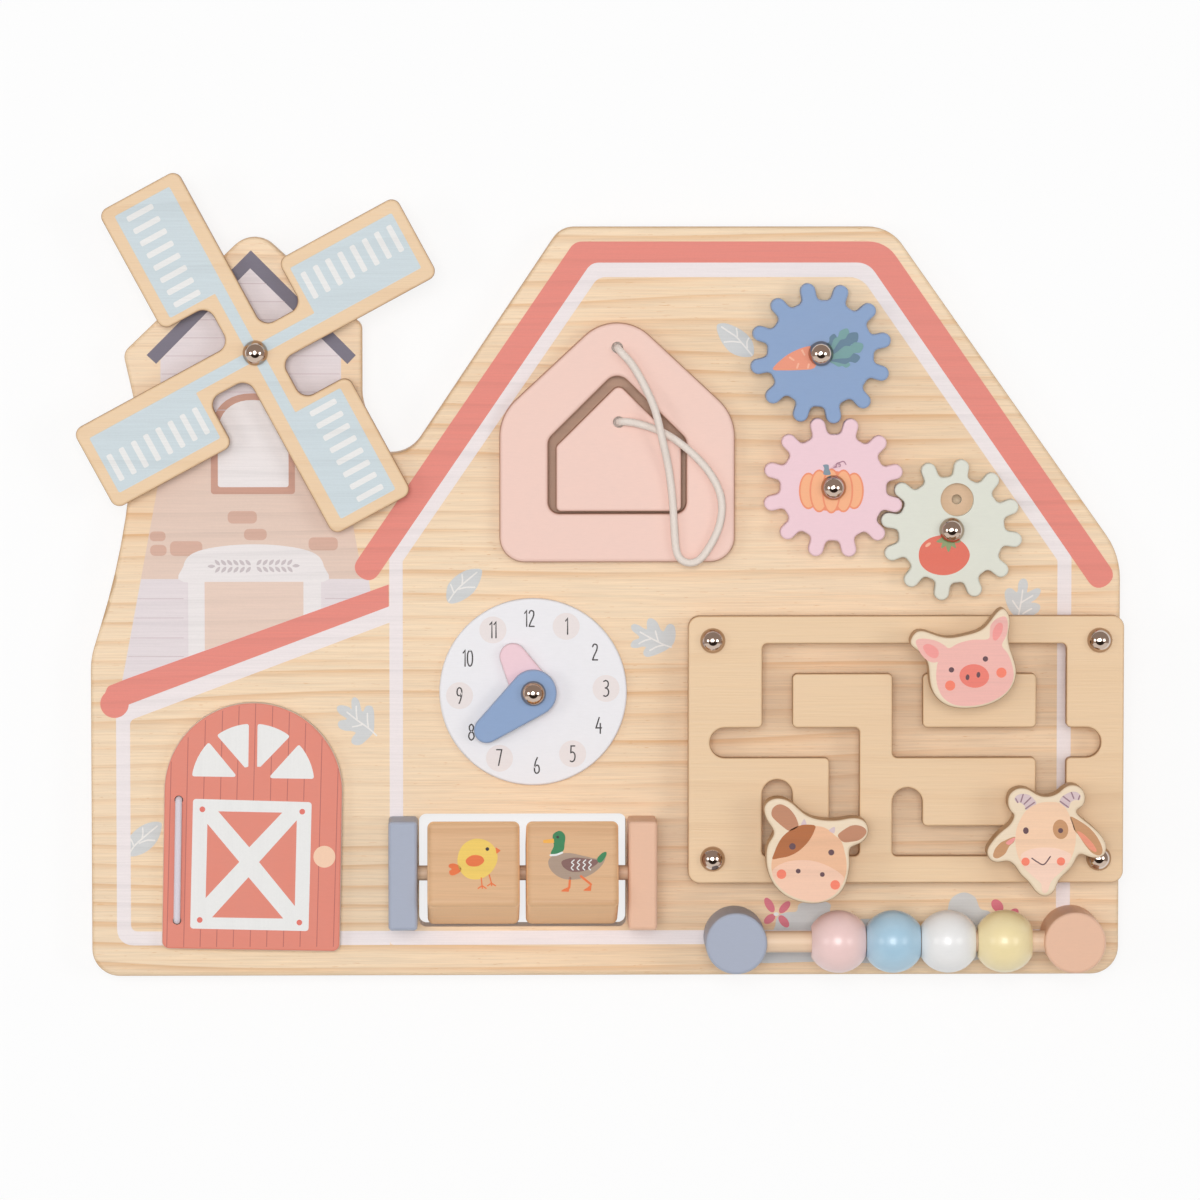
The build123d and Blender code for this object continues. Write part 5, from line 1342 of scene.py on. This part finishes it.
@dataclass
class SpinningCubes:
    """Two cubes on a dowel between two posts, with a bird and two blossoms on each."""

    centres: tuple[float, float] = (-53.15, -13.85)
    axis_y: float = -107.5
    axis_z: float = 25.0032
    tilt: float = -19.0
    half: float = 17.5
    pen: float = 0.9

    def face(self, x: float, quarter: int = 0) -> Matrix:
        """Plane of one side of a cube, counted round its axle from the upper front."""
        axle = Matrix.Translation((x * MM, self.axis_y * MM, self.axis_z * MM))
        turn = Matrix.Rotation(math.radians(self.tilt + 90 * quarter), 4, "X")
        return axle @ turn @ face_at(self.half)

    def build(self) -> None:
        """Dresses the cubes and prints birds and blossoms."""
        dress_nodes({
            "cube_left": CUBE_WOOD, "cube_right": CUBE_WOOD, "cube_axle": DOWEL_WOOD, "cube_post_left": POST_BLUE,
            "cube_post_right": POST_PEACH, "cube_post_screws": ZINC})
        self._chick()
        self._duck()
        bodies, tones = ("left_cube", "right_cube"), ((Tone.CARROT, Tone.CALYX), (Tone.CALYX, Tone.BILL))
        for body, x, pair in zip(bodies, self.centres, tones):
            for quarter, tone in zip((2, 3), pair):
                self._blossom(body, x, quarter, tone)

    def _chick(self) -> None:
        """Round yellow chick walking to the right."""
        sheet = PrintSheet("chick_print", "left_cube", SHEET_GRAIN, self.face(self.centres[0]))
        sheet.blob(Tone.CHICK, [
            (-6.35, 2.26), (-4.2, 7.37), (0.47, 9.93), (5.49, 9.02), (8.8, 5.64), (9.44, 1.13), (6.93, -3.76),
            (2.48, -6.47), (-2.41, -6.02), (-5.56, -2.63)])
        sheet.blob(Tone.CHICK_ORANGE, [
            (-5.28, -1.35), (-7.57, -0.15), (-9.59, -0.45), (-9.87, -1.5), (-8.72, -2.41), (-9.73, -3.31),
            (-9.15, -4.81), (-7.43, -4.81), (-4.99, -3.16)])
        sheet.blob(Tone.CHICK_ORANGE, [
            (-3.12, 1.13), (-0.61, 3.16), (2.98, 2.86), (4.2, 0.75), (1.76, -1.2), (-1.83, -1.05)], level=1)
        sheet.put(Tone.CHICK_ORANGE, rounded([(8.65, 6.62, 0.29), (10.81, 5.11, 0.22), (9.08, 3.61, 0.29)]), level=1)
        for ankle, foot in (((3.05, -6.02), (3.34, -9.17)), ((6.21, -4.81), (7.07, -8.12))):
            toes = [(foot[0] + dx, foot[1] - 1.1) for dx in (-1.5, 0.1, 1.6)]
            sheet.lines(Tone.CHICK_ORANGE, 0.5, ([ankle, foot], *[[foot, toe] for toe in toes]), level=1)
        sheet.put(Tone.INK_BLACK, oval((5.49, 5.72), 0.75, steps=16), level=2)
        sheet.build()

    def _duck(self) -> None:
        """Green-headed drake walking to the left."""
        sheet = PrintSheet("drake_print", "right_cube", SHEET_GRAIN, self.face(self.centres[1]))
        sheet.blob(Tone.DRAKE_BODY, [
            (-9.62, 0.68), (-7.11, 3.31), (-1.36, 4.06), (5.1, 2.71), (10.12, 1.8), (13.35, 4.36), (12.42, 0.15),
            (8.69, -3.84), (2.94, -6.47), (-3.52, -6.47), (-8.19, -3.46)])
        sheet.blob(Tone.DRAKE_GREEN, [
            (-7.47, 11.88), (-4.95, 13.08), (-2.94, 11.28), (-3.09, 7.82), (-3.95, 4.66), (-8.54, 3.61), (-7.4, 6.92),
            (-7.83, 9.48)], level=1)
        sheet.lines(Tone.PANE, 0.8, [[(-8.69, 3.16), (-6.39, 3.31), (-4.09, 4.21)]], level=2)
        sheet.put(Tone.BILL, rounded([
            (-7.4, 9.93, 0.29), (-11.7, 9.32, 0.43), (-11.56, 8.12, 0.36), (-7.25, 8.12, 0.29)]), level=2)
        sheet.blob(Tone.DRAKE_WING, [
            (-4.24, 0.68), (0.07, 2.11), (5.1, 1.8), (10.48, 0.68), (5.82, -2.86), (0.07, -3.61), (-3.37, -1.96)],
            level=1)
        sheet.blob(Tone.DRAKE_GREEN, [
            (9.84, 1.8), (11.92, 4.06), (13.5, 4.36), (13.28, 2.71), (11.7, 0.45), (10.41, 0.15)], level=1)
        bar, bars, pitch = ((0.65, 1.2), (-0.36, 0.15), (0.5, -0.75), (-0.5, -1.96), (0.22, -2.86)), 4, 2.3
        sheet.lines(Tone.PANE, 0.45, [[(x + pitch * k, y) for x, y in bar] for k in range(bars)], level=2)
        for leg, web in (
            ([(-1.01, -6.17), (-1.36, -10.08)],
             [(-1.22, -9.63, 0.14), (-1.51, -11.73, 0.22), (-4.95, -11.58, 0.22), (-3.37, -10.53, 0.14)]),
            ([(3.3, -5.41), (7.25, -8.72)],
             [(7.54, -8.57, 0.14), (7.25, -11.43, 0.22), (3.95, -11.28, 0.22), (5.96, -9.93, 0.14)]),
        ):
            sheet.lines(Tone.CHICK_ORANGE, self.pen, [leg])
            sheet.put(Tone.CHICK_ORANGE, rounded(web), level=1)
        sheet.put(Tone.INK_BLACK, oval((-5.82, 10.53), 0.55, steps=16), level=3)
        sheet.build()

    def _blossom(self, body: str, x: float, quarter: int, tone: Tone) -> None:
        """Plain five-petalled blossom on another side of a cube."""
        sheet = PrintSheet(f"{body}_blossom_{quarter}", body, SHEET_GRAIN, self.face(x, quarter))
        petal = curve_through([(1.6, 0.0), (4.6, 2.4), (8.6, 2.0), (9.6, 0.0), (8.6, -2.0), (4.6, -2.4)])
        petals = 5
        for k in range(petals):
            sheet.put(tone, moved(petal, (0.0, 0.0), 90 + 360 // petals * k))
        sheet.put(Tone.CHICK, oval((0.0, 0.0), 2.6), level=1)
        sheet.build()


@dataclass
class BeadRail:
    """Four beads on a dowel between two round posts."""

    def build(self) -> None:
        """Dresses rail and beads."""
        dress_nodes({
            "bead_pink": BEAD_ROSE, "bead_blue": BEAD_SKY, "bead_white": BEAD_WHITE, "bead_yellow": BEAD_YELLOW,
            "bead_rod": DOWEL_WOOD, "bead_post_left": POST_BLUE, "bead_post_right": POST_PEACH,
            "bead_post_screws": ZINC})


@dataclass
class SlideMaze:
    """Slotted plate, its island and the runners under the heads."""

    def build(self) -> None:
        """Dresses plate, island, studs and runners."""
        dress_nodes({
            "maze_plate": PLYWOOD, "maze_island": PLYWOOD, "maze_island_block": BLOCK_WOOD,
            "maze_island_screws": ZINC, "maze_studs": DOME, "maze_spacers": DOWEL_WOOD, "maze_back_screws": ZINC,
            "pig_runner": DOWEL_WOOD, "cow_runner": DOWEL_WOOD, "goat_runner": DOWEL_WOOD, "pig_screw": ZINC,
            "cow_screw": ZINC, "goat_screw": ZINC})


@dataclass
class AnimalHeads:
    """Pig, cow and goat printed on thick plywood heads."""

    def build(self) -> None:
        """Dresses the heads and prints their faces."""
        dress_nodes({"pig_head": HEAD_WOOD, "cow_head": HEAD_WOOD, "goat_head": HEAD_WOOD})
        self._pig()
        self._cow()
        self._goat()

    def _pig(self) -> None:
        """Pink pig with its head on one side."""
        sheet = PrintSheet("pig_print", "pig", SHEET_GRAIN, face_at(HEAD_Z))
        sheet.blob(Tone.PIG_SKIN, [
            (135.41, -16.13), (139.21, -14.16), (144.66, -12.8), (150.73, -12.55), (151.49, -9.76), (151.79, -7.03),
            (153.76, -4.76), (156.65, -3.55), (158.16, -4.3), (158.62, -7.64), (157.95, -11.28), (156.31, -15.07),
            (158.62, -18.26), (160.13, -21.9), (160.98, -26.14), (160.44, -29.78), (158.01, -33.73), (152.85, -37.06),
            (146.79, -38.82), (141.03, -39.13), (136.78, -38.37), (133.14, -35.85), (131.02, -31.91),
            (130.26, -27.36), (130.56, -23.11), (130.86, -21.65), (129.04, -21.84), (126.47, -20.84), (124.1, -18.26),
            (122.4, -14.77), (122.37, -12.95), (124.65, -12.31), (127.98, -12.68), (131.02, -13.56),
            (133.59, -15.07)], steps=4)
        sheet.blob(Tone.PIG_EAR, [
            (125.01, -15.83), (125.86, -14.68), (127.38, -14.5), (129.5, -15.38), (131.02, -17.04), (131.17, -18.86),
            (130.26, -20.02), (128.59, -19.93), (126.47, -18.56)], level=1)
        sheet.blob(Tone.PIG_EAR, [
            (152.55, -11.28), (152.85, -8.85), (154.07, -6.79), (155.43, -6), (156.56, -6.79), (156.49, -9.16),
            (155.58, -11.28), (154.07, -13.04), (152.92, -12.8)], level=1)
        sheet.put(Tone.PIG_SNOUT, oval((145.36, -27.21), 5.9, 4.68, -6, 40), level=1)
        sheet.dots(Tone.FACE_DARK, ((142.69, -27.72), (147, -26.75)), 0.75, 1.15, -6, level=2)
        sheet.dots(Tone.FACE_DARK, ((136.29, -24.75), (149.76, -20.44)), 1.07, level=1)
        sheet.dots(Tone.CHEEK, ((135.81, -31), (156.13, -25.9)), 2.02, level=1)
        sheet.build()

    def _cow(self) -> None:
        """Cow with one brown eye patch and a pale muzzle."""
        sheet = PrintSheet("cow_print", "cow", SHEET_GRAIN, face_at(HEAD_Z))
        sheet.blob(Tone.HORN, [(76.85, -86.41), (77.48, -84.68), (78.02, -84.11), (78.49, -84.68), (78.9, -86.26)])
        sheet.blob(Tone.HORN, [(87.91, -88.63), (89.11, -87.52), (90, -87.2), (90.31, -87.84), (89.87, -89.73)])
        chin = [
            (92.02, -112.17), (88.54, -115.33), (83.8, -117.07), (78.75, -116.59), (73.69, -115.01), (69.27, -112.17),
            (66.42, -108.69)]
        sheet.blob(Tone.COW_FACE, [
            (82.22, -86.73), (85.7, -87.36), (88.54, -88.94), (90.12, -90.52), (92.34, -92.26), (93.44, -94.47),
            (94.07, -97), (94.8, -100.48), (94.86, -104.59), (93.92, -108.38), *chin, (65.16, -104.59),
            (65.16, -100.79), (65.79, -98.9), (67.37, -94.47), (69.58, -91), (72.11, -89.1), (75.9, -86.89),
            (78.75, -86.26)], steps=4)
        sheet.blob(Tone.COW_EAR, [
            (65, -81.52), (65.63, -79.62), (67.37, -78.36), (69.27, -78.29), (71.79, -79.62), (74.01, -82.15),
            (75.27, -84.68), (75.65, -86.89), (73.69, -88.22), (71.79, -88.63), (69.27, -86.89), (66.74, -84.68),
            (65.32, -83.1)], level=1)
        sheet.blob(Tone.COW_EAR, [
            (91.39, -90.68), (92.65, -89.16), (94.71, -87.77), (96.76, -86.73), (99.29, -86.57), (101.82, -87.52),
            (102.76, -89.1), (101.82, -91), (99.6, -92.58), (96.76, -93.15), (94.23, -93.37), (92.65, -92.58)],
            level=1)
        sheet.blob(Tone.COW_PATCH, [
            (65.47, -100), (66.11, -97.63), (67.37, -94.47), (69.27, -91.31), (71.79, -88.94), (73.37, -87.84),
            (75.9, -86.73), (78.75, -86.26), (82.38, -86.73), (81.91, -89.1), (80.64, -91.63), (78.75, -94.16),
            (75.59, -97), (71.79, -98.9), (68.32, -99.59)], level=1, steps=4)
        sheet.blob(Tone.MUZZLE, [
            (65.32, -105.22), (67.05, -103), (70.53, -101.27), (74.95, -100.48), (80.01, -100.54), (84.43, -101.58),
            (88.54, -103.32), (92.02, -105.53), (93.85, -107.9), *chin], level=2, steps=4)
        sheet.dots(Tone.CHEEK, ((69.04, -106.01), (90.38, -110.34)), 1.9, level=3)
        sheet.dots(Tone.FACE_DARK, ((75.68, -104.81), (85.26, -106.17)), 0.95, level=3)
        sheet.put(Tone.FACE_DARK, oval((73.37, -94.95), 1.3), level=3)
        sheet.put(Tone.FACE_DARK, oval((88.8, -97.38), 1.18), level=3)
        sheet.build()

    def _goat(self) -> None:
        """Goat with banded horns and a brown eye patch."""
        sheet = PrintSheet("goat_print", "goat", SHEET_GRAIN, face_at(HEAD_Z))
        sheet.blob(Tone.HORN, [
            (161.58, -76.36), (162.23, -74.98), (164.47, -74.16), (167.42, -74.65), (169.4, -76.43), (170.22, -78.01),
            (168.57, -79.39), (166.27, -80.64), (165.52, -78.99), (163.88, -77.74), (162.5, -77.61)], steps=4)
        sheet.blob(Tone.HORN, [
            (179.42, -77.02), (180.9, -74.95), (183.85, -73.5), (186.15, -73.47), (187.73, -74.79), (187.4, -76.63),
            (185.5, -76.69), (183.85, -77.74), (182.93, -79.98), (180.57, -78.5)], steps=4)
        sheet.lines(Tone.HORN_LINE, 0.55, (
            [(162.04, -76.1), (162.82, -77.61)], [(164.96, -74.46), (164.07, -77.35)],
            [(167.95, -75.77), (165.39, -78.27)], [(169.46, -77.61), (165.98, -80.11)],
            [(179.71, -77.22), (182.93, -79.52)], [(180.9, -75.25), (183.46, -77.22)],
            [(184.12, -73.67), (185.1, -76.04)], [(187.47, -74.98), (186.94, -76.43)],
        ), level=1)
        chin = [
            (182.87, -102.32), (180.24, -105.28), (177.61, -107.58), (175.97, -109.88), (174.98, -113),
            (173.83, -113.82), (172.68, -113), (172.35, -110.21), (170.71, -108.57), (168.08, -106.27),
            (165.12, -102.98)]
        sheet.blob(Tone.GOAT_FACE, [
            (175.64, -77.45), (178.93, -77.74), (181.55, -79.49), (183.53, -82.94), (185.17, -86.88),
            (185.99, -90.49), (185.83, -94.44), (184.68, -98.71), *chin, (163.15, -99.37), (162.17, -95.42),
            (162, -91.81), (162.5, -87.86), (164.14, -83.92), (166.11, -80.96), (169.07, -78.83), (172.35, -77.68)],
            level=1, steps=4)
        sheet.blob(Tone.GOAT_PATCH, [
            (183.85, -83.26), (187.47, -85.07), (191.08, -87.54), (194.04, -90.82), (196.18, -94.77), (196.6, -97.56),
            (195.19, -98.81), (192.4, -97.72), (189.77, -94.77), (187.14, -90.82), (185.5, -88.85), (184.51, -85.89)],
            level=1, steps=4)
        sheet.blob(Tone.CARROT, [
            (186.65, -89.18), (188.45, -89.84), (190.76, -91.81), (193.06, -94.44), (194.3, -96.8), (193.55, -97.39),
            (191.41, -96.08), (189.11, -93.45), (187.3, -90.89)], level=2)
        sheet.blob(Tone.GOAT_PATCH, [
            (153.13, -98.38), (153.95, -96.08), (155.92, -93.78), (157.9, -92.73), (160.2, -91.64), (161.9, -91.41),
            (161.35, -93.45), (159.54, -95.09), (157.9, -98.05), (155.27, -99.79), (153.56, -99.63)])
        sheet.blob(Tone.PIG_EAR, [
            (158.16, -93.78), (159.54, -92.53), (161.84, -91.64), (161.25, -93.29), (159.54, -94.5)], level=2)
        sheet.blob(Tone.GOAT_MUZZLE, [
            (164.14, -98.71), (166.77, -96.74), (170.71, -95.75), (174.33, -95.59), (178.27, -95.92),
            (181.88, -97.07), (184.18, -98.71), *chin], level=2, steps=4)
        sheet.put(Tone.GOAT_PATCH, oval((179.91, -88.36), 3.05, 3.9, 8, 36), level=2)
        sheet.put(Tone.FACE_DARK, oval((179.91, -88.85), 1.0), level=3)
        sheet.put(Tone.FACE_DARK, oval((166.11, -88.85), 1.1, 1.33), level=3)
        sheet.dots(Tone.CHEEK, ((166.04, -101.24), (180.11, -101.17)), 1.65, level=3)
        sheet.lines(Tone.FACE_DARK, 0.5, [[
            (168.57, -99.86), (170.71, -101.34), (173.34, -102.39), (175.87, -99.2)]], level=3)
        sheet.build()


# ---------------------------------------------------------------- studio


@dataclass
class Studio:
    """Floor, sky, lamps and the camera high over the board."""

    eye: Space = (-0.058, 0.201, 2.815)
    aim: Space = (-0.0024, 0.001, 0.015)
    view_angle: float = 2 * math.atan(0.24 / 2.8077)
    clip: Point = (0.05, 50.0)
    floor_half: float = 6.0
    floor_z: float = -0.001
    floor_grey: float = 0.94
    floor_glow: float = 0.8
    sky: float = 0.32
    room: tuple[float, ...] = (0.33, 0.26, 0.22, 1.0)
    dark_wall: tuple[float, ...] = (0.03, 0.02, 0.015, 1.0)
    apron: tuple[float, ...] = (0.8, 0.73, 0.67, 1.0)
    skyline: Point = (0.68, 0.74)
    sun: float = 1.2
    sun_spread: float = 24.0
    sun_from: Space = (-0.05, 0.14, 1.0)
    lamps: tuple[Point, ...] = ((-1.5, 5.0), (-0.25, 2.6), (1.3, 5.0))
    lamp_row: Point = (0.08, 1.5)
    lamp_size: float = 0.75

    def set_camera(self) -> None:
        """Places the camera with the board's own up kept upright."""
        data = bpy.data.cameras.new("camera")
        data.sensor_fit = "HORIZONTAL"
        data.angle = self.view_angle
        data.clip_start, data.clip_end = self.clip
        eye, aim = Vector(self.eye), Vector(self.aim)
        back = (eye - aim).normalized()
        right = Vector((0.0, 1.0, 0.0)).cross(back).normalized()
        up = back.cross(right)
        turn = Matrix((right, up, back)).transposed().to_4x4()
        camera = added("camera", data)
        camera.matrix_world = Matrix.Translation(eye) @ turn
        bpy.context.scene.camera = camera

    def build(self) -> None:
        """Makes floor, sky and lamps."""
        self._floor()
        self._sky()
        self._lamps()
        bpy.context.scene.view_settings.view_transform = "Standard"

    def _floor(self) -> None:
        """Pale floor that stays white where nothing shades it."""
        mesh = bpy.data.meshes.new("floor")
        signs = ((-1, -1), (1, -1), (1, 1), (-1, 1))
        corners = [(a * self.floor_half, b * self.floor_half, self.floor_z) for a, b in signs]
        mesh.from_pydata(corners, [], [(0, 1, 2, 3)])
        floor = added("floor", mesh)
        cover = bpy.data.materials.new("studio_floor")
        cover.use_nodes = True
        graph = Graph(cover.node_tree)
        seen = self._seen(graph)
        matt = graph.node("ShaderNodeBsdfDiffuse", inputs={"Color": (*[self.floor_grey] * 3, 1.0)})
        glow = graph.node("ShaderNodeEmission", inputs={"Color": WHITE, "Strength": 1.0})
        both = graph.node("ShaderNodeMixShader", inputs={0: seen * self.floor_glow, 1: matt, 2: glow})
        graph.node("ShaderNodeOutputMaterial", inputs={"Surface": both})
        mesh.materials.append(cover)

    def _seen(self, graph: Graph) -> Wire:
        """1 on rays that the camera, a gloss or a glass sends."""
        path = graph.node("ShaderNodeLightPath", output="Is Camera Ray")
        outs = path.socket.node.outputs
        total = path + Wire(graph, outs["Is Glossy Ray"]) + Wire(graph, outs["Is Transmission Ray"])
        return graph.node("ShaderNodeMath", {"operation": "MINIMUM"}, {0: total, 1: 1.0})

    def _sky(self) -> None:
        """White behind the piece, even fill all round, and a dim brown room for what shines."""
        world = bpy.data.worlds.new("studio_sky")
        world.use_nodes = True
        bpy.context.scene.world = world
        graph = Graph(world.node_tree)
        _, north, height = graph.split(graph.place("Generated"))
        path = graph.node("ShaderNodeLightPath", output="Is Camera Ray")
        gloss = Wire(graph, path.socket.node.outputs["Is Glossy Ray"])
        wall = graph.ramp(0.0 - north, 0.0, 0.2) * graph.ramp(height, *self.skyline)
        room = graph.mix(wall, self.room, self.dark_wall)
        near = graph.ramp(0.0 - north, 0.3, 0.4) * (1.0 - graph.ramp(height, *self.skyline))
        room = graph.mix(near, room, self.apron)
        fill = graph.mix(gloss, (*[self.sky] * 3, 1.0), room)
        shown = graph.mix(path, fill, WHITE)
        sky = graph.node("ShaderNodeBackground", inputs={"Color": shown, "Strength": 1.0})
        graph.node("ShaderNodeOutputWorld", inputs={"Surface": sky})

    def _lamps(self) -> None:
        """Soft key light from high up and three round lamps in a row across the board."""
        key = bpy.data.lights.new("key", "SUN")
        key.energy, key.angle = self.sun, math.radians(self.sun_spread)
        sun = added("key", key)
        sun.rotation_euler = Vector(self.sun_from).to_track_quat("Z", "Y").to_euler()
        for k, (x, power) in enumerate(self.lamps):
            data = bpy.data.lights.new(f"lamp_{k + 1}", "AREA")
            data.energy, data.shape, data.size = power, "DISK", self.lamp_size
            lamp = added(f"lamp_{k + 1}", data)
            lamp.location = (x, *self.lamp_row)
            lamp.rotation_euler = Vector(lamp.location).to_track_quat("Z", "Y").to_euler()


def main() -> None:
    """Builds the scene in order."""
    logging.basicConfig(level=logging.INFO, format="%(message)s")
    studio = Studio()
    studio.set_camera()
    sorter = ShapeSorter()
    sorter.lay_cord()
    for piece in (
        MainBoard(), Windmill(), BarnDoor(), Clock(), GearTrain(), sorter, SpinningCubes(), BeadRail(), SlideMaze(),
        AnimalHeads(),
    ):
        piece.build()
        log.info("built %s", type(piece).__name__)
    studio.build()


if __name__ == "__main__":
    main()
